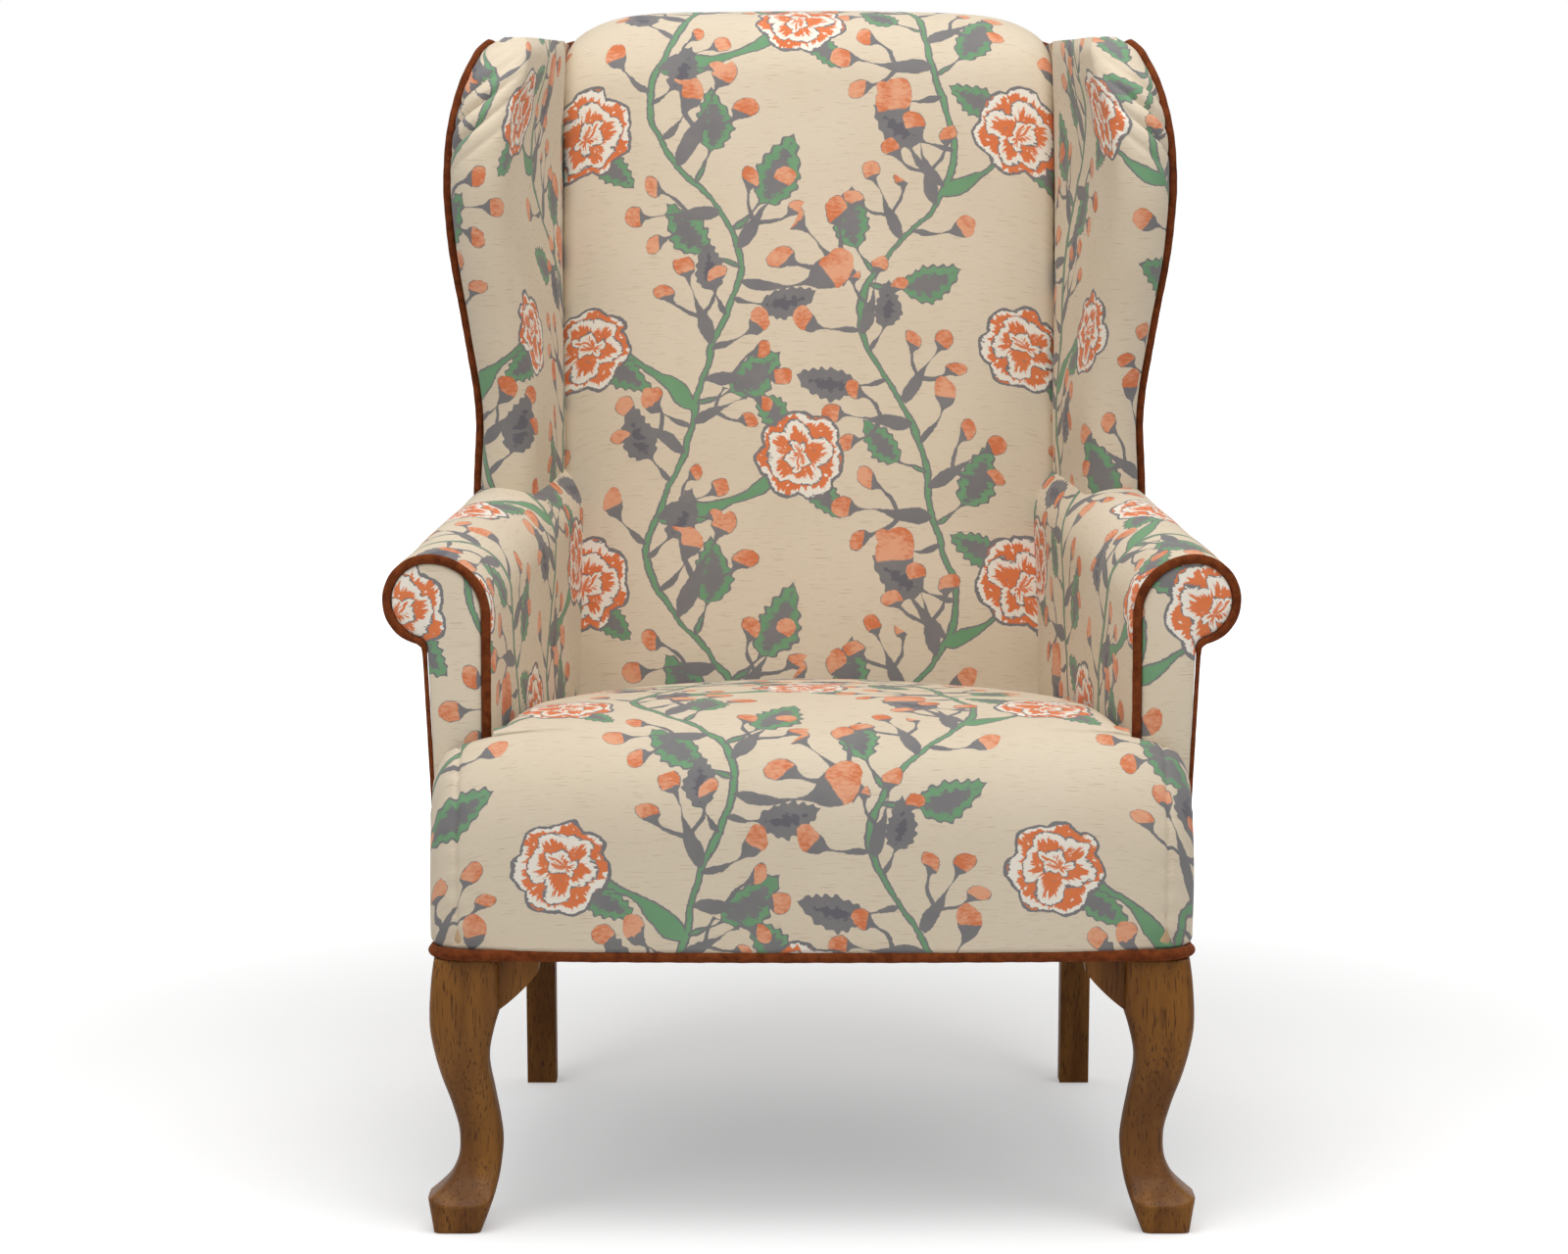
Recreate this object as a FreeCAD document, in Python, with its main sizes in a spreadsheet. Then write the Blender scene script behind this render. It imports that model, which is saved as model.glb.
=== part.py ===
import FreeCAD
import Part
import Sketcher
import math
import os

# Wingback armchair with a stuffed seat and scroll arms, in millimetres.
# The chair faces -Y, +Z is up, and the origin is on the floor under the middle of the chair.

# Driving dimensions: alias, value, what it is
DIMENSIONS = [
    ("chair_height", 1111, "floor to the top of the back"),
    ("seat_height", 466, "floor to the top of the seat's crown"),
    ("seat_half_width", 344, "middle to the outer side of the seat cover at the front"),
    ("seat_front", 408, "origin to the foremost point of the seat cover"),
    ("seat_end_drop", 38, "fall of the seat's crown at its two ends"),
    ("seat_back_drop", 34, "fall of the seat's crown where it meets the back"),
    ("leg_height", 250, "floor to the underside of the seat frame"),
    ("rail_height", 85, "height of the seat rails"),
    ("rail_thickness", 28, "thickness of the seat rails"),
    ("rail_front", 394, "origin to the front rail's face, in the middle"),
    ("rail_bow", 10, "bow of the front rail's face"),
    ("rail_half_width", 337, "middle to the outer face of the side rails at the front"),
    ("rear_half_width", 293, "middle to the outer face of the back posts"),
    ("corner_radius", 36, "rounding of the seat frame's front corners"),
    ("post_width", 30, "width of a back post and rear leg, seen from the front"),
    ("post_depth", 46, "depth of a back post above the seat"),
    ("back_low_rear", 257, "origin to the outside back at the seat frame's underside"),
    ("back_top_rear", 401.5, "origin to the outside back at the top"),
    ("rear_foot_front", 240, "origin to the front of the rear foot"),
    ("rear_foot_depth", 30, "depth of the rear foot on the floor"),
    ("inside_back_low", 94, "origin to the inside back at the underside of the pad"),
    ("inside_back_top", 252, "origin to the inside back near the top"),
    ("back_half_width", 250, "middle to the side of the inside back"),
    ("back_crown", 14, "fullness of the inside back in the middle"),
    ("back_panel_thickness", 4, "outside back: lining board and cloth"),
    ("back_corner_radius", 50, "rounding of the outside back's top corners"),
    ("back_arch", 33, "rise of the back's top from its corners to the middle"),
    ("crest_cover", 22, "padding over the crest rail"),
    ("arm_front", 312, "origin to the back of the arm facing"),
    ("scroll_x", 346, "middle to the centre of the arm scroll at the front"),
    ("scroll_z", 567, "floor to the centre of the arm scroll at the front"),
    ("scroll_radius", 42, "radius of the arm scroll"),
    ("arm_crown_radius", 56, "radius of the inner shoulder of the arm"),
    ("arm_inward", 0.14, "how far the arm turns inward for each mm toward the back"),
    ("arm_climb", 0.11, "how far the arm rises for each mm toward the back"),
    ("arm_wood_depth", 13, "padding between the cover and the arm post"),
    ("post_board", 28, "thickness of the arm post board"),
    ("facing_thickness", 6, "padded panel on the front of the arm"),
    ("wing_thickness", 54, "thickness of the wing at its rounded front edge"),
    ("wing_base", 640, "floor to the foot of the wing at its front edge"),
    ("wing_top", 1079, "floor to the top of the wing"),
    ("wing_reach", 75, "how far the widest part of the wing stands in front of the origin"),
    ("wing_half_width", 342.5, "middle to the outer side of the wing cover at its widest"),
    ("cloth", 2, "thickness of cover cloth with its wadding"),
    ("side_cloth", 3, "cloth and wadding over the outer side of the frame"),
    ("outer_panel", 3.7, "outside arm and wing panels: board and cloth"),
    ("gap", 0.4, "clearance between soft pieces"),
    ("welt", 8.5, "diameter of the welt round the facings and the wings"),
    ("base_welt", 10, "diameter of the welt along the base"),
    ("knee_x", 343.7, "middle to the outer side of the front leg's knee"),
    ("leg_top_inner", 281, "middle to the inner side of the front leg's top"),
    ("leg_corner_set", 44, "extra distance of the front leg from the origin toward the front"),
    ("ankle", 39, "width of the front leg at the ankle"),
    ("toe", 62, "width of the front foot at its edge"),
    ("foot_base", 43, "width of the front foot on the floor"),
    ("ear_width", 37, "width of a knee block along the rail"),
    ("ear_height", 47, "height of a knee block"),
    ("ear_depth", 26, "depth of a knee block"),
    ("ear_set", 4, "setback of a knee block behind the knee"),
    ("bolt_diameter", 8, "hanger bolt in a front leg"),
    ("bolt_set", 12, "hanger bolt to the rails' inner faces"),
    ("bolt_in_leg", 45, "hanger bolt below the leg's top"),
    ("bolt_in_block", 60, "hanger bolt above the leg's top"),
    ("corner_block_leg", 78, "side of a corner block along a rail"),
    ("corner_block_height", 60, "height of a corner block"),
    ("strap_width", 50, "width of the webbing"),
    ("strap_thickness", 1.6, "thickness of the webbing"),
    ("back_strap_low", 690, "floor to the lowest strap of the back"),
    ("strap_wave", 1, "rise and fall of a strap where straps cross"),
    ("hessian", 1, "thickness of the hessian"),
    ("board_thickness", 24, "thickness of the arm, tack and wing boards"),
    ("arm_rail_height", 44, "height of the arm rail"),
    ("tack_rail_height", 40, "height of the tack rail above the seat rail"),
    ("lower_back_rail_z", 420, "floor to the underside of the lower back rail"),
    ("lower_back_rail_height", 50, "height of the lower back rail"),
    ("crest_rail_height", 60, "height of the crest rail in the middle"),
    ("dust_cover", 1, "thickness of the dust cover"),
]

NODES = {}
SIDES = (("left", -1), ("right", 1))


class Size:
    """A length that knows its value and the sheet expression that it comes from."""

    def __init__(self, value, text):
        self.value = value
        self.text = text

    @staticmethod
    def of(other):
        return other if isinstance(other, Size) else Size(float(other), repr(float(other)))

    def _join(self, other, sign, value):
        return Size(value, "(" + self.text + " " + sign + " " + other.text + ")")

    def __add__(self, other):
        other = Size.of(other)
        return self._join(other, "+", self.value + other.value)

    def __sub__(self, other):
        other = Size.of(other)
        return self._join(other, "-", self.value - other.value)

    def __mul__(self, other):
        other = Size.of(other)
        return self._join(other, "*", self.value * other.value)

    def __truediv__(self, other):
        other = Size.of(other)
        return self._join(other, "/", self.value / other.value)

    def __radd__(self, other):
        return Size.of(other) + self

    def __rsub__(self, other):
        return Size.of(other) - self

    def __rmul__(self, other):
        return Size.of(other) * self

    def __neg__(self):
        return Size(-self.value, "(-1 * " + self.text + ")")


doc = FreeCAD.newDocument("wingback_armchair")
sheet = doc.addObject("Spreadsheet::Sheet", "Dims")
for row, (alias, value, note) in enumerate(DIMENSIONS, start=1):
    sheet.set("A" + str(row), alias)
    sheet.set("B" + str(row), str(value))
    sheet.setAlias("B" + str(row), alias)
    sheet.set("C" + str(row), note)
doc.recompute()


class Named:
    """Gives each driving dimension as an attribute that is bound to its cell."""

    def __getattr__(self, alias):
        return Size(float(sheet.get(alias)), "Dims." + alias)


d = Named()


def via(across, up):
    """A point on the arc between the two corners beside it."""
    return ("via", across, up)


def sketch_on(body, name, plane, place, outline, closed=True):
    """Sketch on an origin plane of the body, moved to `place` along the chair's axis.

    The outline is a list of corners and via points, and every point is bound to the sheet.
    """
    sketch = plane_sketch(body, name, plane, place)
    points = [tuple(Size.of(v) for v in p[-2:]) for p in outline]
    corners = [i for i, p in enumerate(outline) if p[0] != "via"]
    spans = list(zip(corners, corners[1:] + corners[:1])) if closed else list(zip(corners, corners[1:]))
    edges = []
    for start, end in spans:
        a = FreeCAD.Vector(points[start][0].value, points[start][1].value, 0)
        b = FreeCAD.Vector(points[end][0].value, points[end][1].value, 0)
        middle = (start + 1) % len(outline)
        if outline[middle][0] == "via":
            m = FreeCAD.Vector(points[middle][0].value, points[middle][1].value, 0)
            arc = Part.Arc(a, m, b)
            index = sketch.addGeometry(arc)
            reverse = sketch.getPoint(index, 1).distanceToPoint(a) > sketch.getPoint(index, 2).distanceToPoint(a)
            ends = (2, 1) if reverse else (1, 2)
            mark = sketch.addGeometry(Part.Point(m), True)
            pin(sketch, mark, 1, points[middle])
            sketch.addConstraint(Sketcher.Constraint("PointOnObject", mark, 1, index))
        else:
            index = sketch.addGeometry(Part.LineSegment(a, b))
            ends = (1, 2)
        edges.append((index, ends, start))
    following = edges[1:] + edges[:1] if closed else edges[1:]
    for (index, ends, _), (after, after_ends, _) in zip(edges, following):
        sketch.addConstraint(Sketcher.Constraint("Coincident", index, ends[1], after, after_ends[0]))
    for index, ends, start in edges:
        pin(sketch, index, ends[0], points[start])
    if not closed:
        index, ends, _ = edges[-1]
        pin(sketch, index, ends[1], points[corners[-1]])
    return sketch


def pin(sketch, index, end, point):
    """Tie one point of a sketch to two sizes of the sheet."""
    for kind, size in (("DistanceX", point[0]), ("DistanceY", point[1])):
        number = sketch.addConstraint(Sketcher.Constraint(kind, -1, 1, index, end, size.value))
        sketch.setExpression("Constraints[" + str(number) + "]", size.text)


def new_body(label):
    body = doc.addObject("PartDesign::Body", label)
    body.Label = label
    return body


def board(label, plane, start, end, outline):
    """A piece with one outline, as thick as from `start` to `end` along the plane's axis."""
    body = new_body(label)
    pad = body.newObject("PartDesign::Pad", label + "_pad")
    pad.Profile = sketch_on(body, label + "_outline", plane, start, outline)
    thickness = Size.of(end) - start
    pad.Length = thickness.value
    pad.setExpression("Length", thickness.text)
    pad.Reversed = plane == "Y"
    return body


def loft(label, plane, sections, ruled=False):
    """A piece drawn through outlines at several places along one axis."""
    body = new_body(label)
    names = [label + "_section" + str(i) for i in range(len(sections))]
    sketches = [sketch_on(body, n, plane, place, outline) for n, (place, outline) in zip(names, sections)]
    feature = body.newObject("PartDesign::AdditiveLoft", label + "_loft")
    feature.Profile = sketches[0]
    feature.Sections = sketches[1:]
    feature.Ruled = ruled
    return body


def plane_sketch(body, name, plane, place):
    """An empty sketch on an origin plane of the body, moved to `place` along the chair's axis."""
    sketch = body.newObject("Sketcher::SketchObject", name)
    role = {"X": "YZ_Plane", "Y": "XZ_Plane", "Z": "XY_Plane"}[plane]
    origin_plane = [f for f in body.Origin.OriginFeatures if f.Role == role][0]
    sketch.AttachmentSupport = [(origin_plane, "")]
    sketch.MapMode = "FlatFace"
    offset = -Size.of(place) if plane == "Y" else Size.of(place)
    sketch.AttachmentOffset.Base.z = offset.value
    sketch.setExpression("AttachmentOffset.Base.z", offset.text)
    return sketch


def ring_on(body, name, plane, place, centre, diameter):
    """Sketch of one circle, with its centre and diameter bound to the sheet."""
    ring = plane_sketch(body, name, plane, place)
    centre = tuple(Size.of(v) for v in centre)
    middle = FreeCAD.Vector(centre[0].value, centre[1].value, 0)
    index = ring.addGeometry(Part.Circle(middle, FreeCAD.Vector(0, 0, 1), diameter.value / 2))
    pin(ring, index, 3, centre)
    number = ring.addConstraint(Sketcher.Constraint("Diameter", index, diameter.value))
    ring.setExpression("Constraints[" + str(number) + "]", diameter.text)
    return ring


def piped(label, plane, place, path, ring_plane, ring_place, ring_centre, diameter):
    """A round cord of one thickness along a flat path."""
    body = new_body(label)
    route = sketch_on(body, label + "_route", plane, place, path, closed=False)
    ring = ring_on(body, label + "_ring", ring_plane, ring_place, ring_centre, diameter)
    pipe = body.newObject("PartDesign::AdditivePipe", label + "_pipe")
    pipe.Profile = ring
    pipe.Spine = (route, [])
    pipe.Transition = "Transformed"
    return body


def roped(label, plane, centres, diameter):
    """A round cord through rings at several places along one axis."""
    body = new_body(label)
    rings = [ring_on(body, label + "_ring" + str(i), plane, place, centre, diameter)
             for i, (place, centre) in enumerate(centres)]
    feature = body.newObject("PartDesign::AdditiveLoft", label + "_loft")
    feature.Profile = rings[0]
    feature.Sections = rings[1:]
    return body


def group(label, pieces):
    """Several equal pieces kept as one sub-part."""
    together = doc.addObject("Part::Compound", label)
    together.Links = pieces
    return together


def boolean(kind, label, base, tools):
    """Cut the tools away from the base one after the other, or keep what they share."""
    shape = base
    for i, tool in enumerate(tools):
        last = i == len(tools) - 1
        step = doc.addObject("Part::" + kind, label if last else label + "_step" + str(i))
        if kind == "Cut":
            step.Base = shape
            step.Tool = tool
        else:
            step.Shapes = [shape, tool]
        shape = step
    shape.Label = label
    return shape


def cut(label, base, *tools):
    return boolean("Cut", label, base, tools)


def shared(label, first, second):
    return boolean("MultiCommon", label, first, [second])


def keep(label, piece):
    """Make a piece one of the chair's sub-parts, under its own name."""
    piece.Label = label
    NODES[label] = piece
    return piece


def ordered(side, near, far):
    """The two X places of a piece on one side of the chair, the smaller first."""
    return (near, far) if side > 0 else (-far, -near)


def mirrored(side, outline):
    """An outline drawn for the right side, turned over for the left."""
    return [p[:-2] + (side * p[-2], p[-1]) for p in outline]


# Levels and planes that several pieces share
RAIL_TOP = d.leg_height + d.rail_height
STRAP_BASE = RAIL_TOP + 0.1
HESSIAN_BASE = STRAP_BASE + d.strap_wave * 2 + d.strap_thickness + 0.1
PAD_BASE = HESSIAN_BASE + d.hessian + d.gap
BACK_SLOPE = (d.back_top_rear - d.back_low_rear) / (d.chair_height - d.leg_height)
TALL = d.chair_height + 100
INSIDE_SLOPE = (d.inside_back_top - d.inside_back_low) / (d.chair_height - PAD_BASE)


SIDE_DRAW = (d.rail_half_width - d.rear_half_width) / (d.rail_front + d.back_low_rear)


def outside_back(z):
    """Y of the outside back at a height."""
    return d.back_low_rear + (z - d.leg_height) * BACK_SLOPE


def post_rear(z):
    return outside_back(z) - d.back_panel_thickness


def post_front(z):
    return post_rear(z) - d.post_depth


def inside_back(z):
    """Y of the inside back at a height, at the sides of the pad."""
    return d.inside_back_low + (z - PAD_BASE) * INSIDE_SLOPE


def frame_half(y):
    """Half width over the frame's outer faces: it draws in as far as the back posts."""
    y = Size.of(y)
    if y.value > d.back_low_rear.value:
        return d.rear_half_width
    return d.rail_half_width - (y + d.rail_front) * SIDE_DRAW


def leaning_block(label, front, half_width, low, high):
    """The room behind a plane that leans with the back, used to stop pieces at it."""
    deep = d.back_top_rear + 200
    outline = [(front(low), low), (deep, low), (deep, high), (front(high), high)]
    return board(label, "X", -half_width, half_width, outline)


post_room = leaning_block("room_from_post_front", post_front, Size.of(500), d.leg_height - 100, TALL)
panel_room = leaning_block("room_from_post_rear", post_rear, Size.of(500), d.leg_height - 100, TALL)


def front_line(x, offset):
    """Y of the bowed front at a distance from the middle, with an offset outward."""
    share = x * x / (d.rail_half_width * d.rail_half_width)
    return -(d.rail_front + offset) + d.rail_bow * share


def seat_plan(offset, rear):
    """Plan of the seat frame: bowed front, rounded front corners and sides that draw in."""
    half = d.rail_half_width + offset
    turn = d.corner_radius + offset
    bend = turn * 0.293
    corner_y = front_line(half, offset)
    rear_half = frame_half(rear) + offset
    right = [
        (rear_half, rear),
        (half, corner_y + turn),
        via(half - bend, corner_y + bend),
        (half - turn, corner_y),
    ]
    left = [p[:-2] + (-p[-2], p[-1]) for p in reversed(right)]
    return right + [via(Size.of(0), front_line(Size.of(0), offset))] + left


def seat_frame():
    """Front, side and back rails with glued corner blocks."""
    inner_y = front_line(Size.of(0), 0) + d.rail_thickness + d.rail_bow
    whole = board("seat_frame_plan", "Z", d.leg_height, RAIL_TOP, seat_plan(Size.of(0), d.back_low_rear))
    behind = board("behind_front_rail", "Y", inner_y, d.back_low_rear + 100,
                   [(-500, 0), (500, 0), (500, 500), (-500, 500)])
    keep("front_seat_rail", cut("front_seat_rail", whole, behind))
    far = d.back_low_rear
    for name, side in SIDES:
        near_half = frame_half(inner_y)
        far_half = frame_half(far)
        ends = []
        for y, half in ((inner_y, near_half), (far, far_half)):
            box = [(half - d.rail_thickness, d.leg_height), (half, d.leg_height),
                   (half, RAIL_TOP), (half - d.rail_thickness, RAIL_TOP)]
            ends.append((y, mirrored(side, box)))
        rail = loft(name + "_side_rail_long", "Y", ends, ruled=True)
        keep(name + "_side_rail", cut(name + "_side_rail", rail, post_room))
    rail_y = post_front(RAIL_TOP) + 8
    inner_half = d.rear_half_width - d.post_width
    keep("back_seat_rail", board("back_seat_rail", "Y", rail_y - d.rail_thickness, rail_y,
                                 [(-inner_half, d.leg_height), (inner_half, d.leg_height),
                                  (inner_half, RAIL_TOP), (-inner_half, RAIL_TOP)]))
    block_low = d.leg_height + 10
    reach = d.corner_block_leg
    bolts = {}
    for name, side in SIDES:
        corner = frame_half(inner_y) - d.rail_thickness - 0.3
        bolt = doc.addObject("Part::Cylinder", name + "_leg_bolt")
        bind(bolt, "Radius", d.bolt_diameter / 2)
        bind(bolt, "Height", d.bolt_in_leg + d.bolt_in_block)
        bind(bolt, "Placement.Base.x", side * (corner - d.bolt_set))
        bind(bolt, "Placement.Base.y", inner_y + d.bolt_set)
        bind(bolt, "Placement.Base.z", d.leg_height - d.bolt_in_leg)
        bolts[name] = keep(name + "_leg_bolt", bolt)
        front = [(corner, inner_y), (corner - reach, inner_y),
                 (corner - reach * SIDE_DRAW, inner_y + reach)]
        block = board(name + "_corner_block_blank", "Z", block_low, block_low + d.corner_block_height,
                      mirrored(side, front))
        keep(name + "_front_corner_block", cut(name + "_front_corner_block", block, bolt))
        rear_y = rail_y - d.rail_thickness
        rear_corner = frame_half(rear_y) - d.rail_thickness - 0.3
        rear_block = [(rear_corner, rear_y), (rear_corner - reach, rear_y), (rear_corner, rear_y - reach)]
        keep(name + "_rear_corner_block",
             board(name + "_rear_corner_block", "Z", block_low, block_low + d.corner_block_height,
                   mirrored(side, rear_block)))
    return bolts


BACK_STRAP_COUNT = 4
BACK_STRAP_PITCH = 88


def back_frame():
    """Back posts in one piece with the rear legs, crest rail and lower back rail."""
    foot = d.rear_foot_front
    top = d.chair_height - d.crest_cover - d.back_arch
    profile = [
        (foot, 0),
        (foot + d.rear_foot_depth, 0),
        (post_rear(d.leg_height), d.leg_height),
        (post_rear(top), top),
        (post_front(top), top),
        (post_front(RAIL_TOP), RAIL_TOP),
        (post_front(d.leg_height) + 6, d.leg_height),
    ]
    for name, side in SIDES:
        near, far = ordered(side, d.rear_half_width - d.post_width, d.rear_half_width)
        keep(name + "_back_post", board(name + "_back_post", "X", near, far, profile))
    inner = d.rear_half_width - d.post_width
    crest_top = d.chair_height - d.crest_cover
    low = crest_top - d.crest_rail_height
    thick = d.board_thickness
    lean = [(post_rear(low) - thick, low), (post_rear(low), low),
            (post_rear(crest_top), crest_top), (post_rear(crest_top) - thick, crest_top)]
    side_view = board("crest_rail_side", "X", -inner, inner, lean)
    side = crest_top - d.back_arch
    arch = [(-inner, low), (inner, low), (inner, side), via(Size.of(0), crest_top), (-inner, side)]
    front_view = board("crest_rail_front", "Y", Size.of(200), Size.of(500), arch)
    keep("crest_rail", shared("crest_rail", side_view, front_view))
    low = d.lower_back_rail_z
    high = low + d.lower_back_rail_height
    lean = [(post_rear(low) - thick, low), (post_rear(low), low),
            (post_rear(high), high), (post_rear(high) - thick, high)]
    keep("lower_back_rail", board("lower_back_rail", "X", -inner, inner, lean))
    straps_made = []
    for i in range(BACK_STRAP_COUNT):
        z = d.back_strap_low + i * BACK_STRAP_PITCH
        y = post_front(z) - 0.2
        run = BACK_SLOPE * d.strap_width
        lean = [(y, z), (y + run, z + d.strap_width),
                (y + run - d.strap_thickness, z + d.strap_width), (y - d.strap_thickness, z)]
        half = d.rear_half_width - 6
        straps_made.append(board("back_strap" + str(i), "X", -half, half, lean))
    keep("back_webbing", group("back_webbing", straps_made))


def leg_outline(place):
    """Cabriole outline seen square to one face; `place` moves it away from the middle."""
    knee = d.knee_x + place
    inner = d.leg_top_inner + place
    top = d.leg_height
    ankle_in = inner - 1
    toe_out = knee + 2.8
    return [
        (inner, top),
        (inner, top - d.ear_height),
        via(inner + 10, top - 90),
        (inner + 5, top - 126),
        via(ankle_in, top - 171),
        (toe_out - d.toe + 1, 36),
        (toe_out - 5 - d.foot_base, 0),
        (toe_out - 5, 0),
        (toe_out, 31),
        via(ankle_in + d.ankle + 4, 58),
        (ankle_in + d.ankle, 84),
        via(knee - 9, 142),
        (knee, 186),
        via(knee - 2, 215),
        (knee - 13, top),
    ]


def front_legs(bolts):
    """Cabriole legs sawn to the same outline on two faces, with glued knee blocks."""
    for name, side in SIDES:
        front = board(name + "_leg_front_view", "Y", Size.of(-450), Size.of(-250),
                      mirrored(side, leg_outline(Size.of(0))))
        near, far = ordered(side, Size.of(230), Size.of(400))
        turned = [p[:-2] + (-p[-2], p[-1]) for p in leg_outline(d.leg_corner_set)]
        profile = board(name + "_leg_side_view", "X", near, far, turned)
        blank = shared(name + "_leg_blank", front, profile)
        keep(name + "_front_leg", cut(name + "_front_leg", blank, bolts[name]))
        ear = ear_outline(d.leg_top_inner)
        ear_y = -(d.knee_x + d.leg_corner_set - d.ear_set - 9)
        keep(name + "_front_knee_block",
             board(name + "_front_knee_block", "Y", ear_y, ear_y + d.ear_depth, mirrored(side, ear)))
        side_ear = [p[:-2] + (-p[-2], p[-1]) for p in ear_outline(d.leg_top_inner + d.leg_corner_set)]
        outer = d.knee_x - d.ear_set - 9
        near, far = ordered(side, outer - d.ear_depth, outer)
        keep(name + "_side_knee_block", board(name + "_side_knee_block", "X", near, far, side_ear))


def ear_outline(joint):
    """Knee block seen from its face: flat on the rail and the leg, hollow below."""
    top = d.leg_height
    return [
        (joint, top),
        (joint - d.ear_width, top),
        (joint - d.ear_width + 2, top - 13),
        via(joint - 21, top - 29),
        (joint, top - d.ear_height),
    ]


def bind(feature, name, size):
    """Set a property of a primitive and tie it to the sheet."""
    size = Size.of(size)
    feature.setExpression(name, size.text)


def arm_outline(y, inset, base, notch_angle):
    """Section of the arm across its length: inner side, shoulder, scroll and lower outer side."""
    run = y + d.arm_front
    centre_x = d.scroll_x - run * d.arm_inward
    centre_z = d.scroll_z + run * d.arm_climb
    roll = d.scroll_radius - inset
    shoulder = d.arm_crown_radius - inset
    shoulder_z = centre_z + d.scroll_radius - d.arm_crown_radius
    outer = frame_half(y) + d.side_cloth - inset
    angle = math.radians(notch_angle)
    middle = (math.pi / 2 + angle) / 2
    notch = (centre_x + roll * math.cos(angle), centre_z + roll * math.sin(angle))
    half = math.sqrt(0.5)
    return [
        (centre_x - shoulder, base),
        (centre_x - shoulder, shoulder_z),
        via(centre_x - shoulder * half, shoulder_z + shoulder * half),
        (centre_x, centre_z + roll),
        via(centre_x + roll * math.cos(middle), centre_z + roll * math.sin(middle)),
        notch,
        (outer, notch[1] - 25),
        (outer, base),
    ]


ARM_REAR = Size.of(340)
NOTCH_FRONT = -80
NOTCH_AT_POST = -50
NOTCH_REAR = -45
FACING_TURN = 6
PANEL_SET = 3.5


def arm_loft(label, side, inset, base, overrun=0):
    """The arm's outer form, or one inside it, from the facing to past the back post."""
    start = -d.arm_front - overrun
    end = ARM_REAR + overrun
    places = ((start, NOTCH_FRONT), (d.back_low_rear, NOTCH_AT_POST), (end, NOTCH_REAR))
    sections = [(y, mirrored(side, arm_outline(y, inset, base, angle))) for y, angle in places]
    return loft(label, "Y", sections, ruled=True)


def long_board(label, side, start, middle_x, low, height, climb):
    """A board that follows the arm: its middle line draws in and rises toward the back post."""
    sections = []
    for y in (start, ARM_REAR):
        run = y - start
        x = middle_x - run * SIDE_DRAW
        z = low + run * climb
        half = d.board_thickness / 2
        box = [(x - half, z), (x + half, z), (x + half, z + height), (x - half, z + height)]
        sections.append((y, mirrored(side, box)))
    return loft(label, "Y", sections, ruled=True)


# Wing stations: share of the wing's height, share of its flare, share of its reach, share of its thickness
WING_LOW_X = 318.5
WING_STATIONS = [
    (-0.13, 0.10, -0.13, 1.0),
    (0.0, 0.12, 0.0, 1.0),
    (0.17, 0.0, 0.10, 1.0),
    (0.36, 0.42, 0.40, 1.0),
    (0.55, 0.90, 0.80, 1.0),
    (0.71, 1.0, 1.0, 1.0),
    (0.84, 0.70, 0.88, 1.0),
    (0.935, 0.12, 0.52, 0.94),
    (0.98, -0.40, 0.16, 0.72),
    (1.0, -0.95, -0.20, 0.40),
]


def wing_loft(label, side, inset, overrun=0):
    """The wing's padded form through level sections, widest and foremost above its middle."""
    sections = []
    rear = ARM_REAR + 70 + overrun
    height = d.wing_top - d.wing_base
    flare = d.wing_half_width - WING_LOW_X
    for share, wide, reach, thick in WING_STATIONS:
        z = d.wing_base + height * share
        if share == 1.0:
            z = z - inset
        if share < 0:
            z = z - overrun
        outer = WING_LOW_X + flare * wide - inset
        front = -(d.wing_reach * reach) + inset
        nose = d.wing_thickness * thick / 2 - inset
        crease_y = inside_back(z) + 26
        crease_x = d.back_half_width + d.gap + inset
        rear_outer = d.rear_half_width + d.side_cloth - inset
        outline = [
            (rear_outer, rear),
            (outer, front + nose * 0.9),
            via(outer - nose, front),
            (outer - nose * 2, front + nose * 0.9),
            via((outer - nose * 2 + crease_x) / 2 - 5, (front + nose + crease_y) / 2),
            (crease_x, crease_y),
            (crease_x, rear),
        ]
        sections.append((z, mirrored(side, outline)))
    return loft(label, "Z", sections)


def wing_line(share_index, inset_x, inset_y):
    """Point on the wing's outer front line at a station, moved in by the two insets."""
    share, wide, reach, _ = WING_STATIONS[share_index]
    z = d.wing_base + (d.wing_top - d.wing_base) * share
    x = WING_LOW_X + (d.wing_half_width - WING_LOW_X) * wide - inset_x
    y = -(d.wing_reach * reach) + inset_y
    return x, y, z


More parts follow.
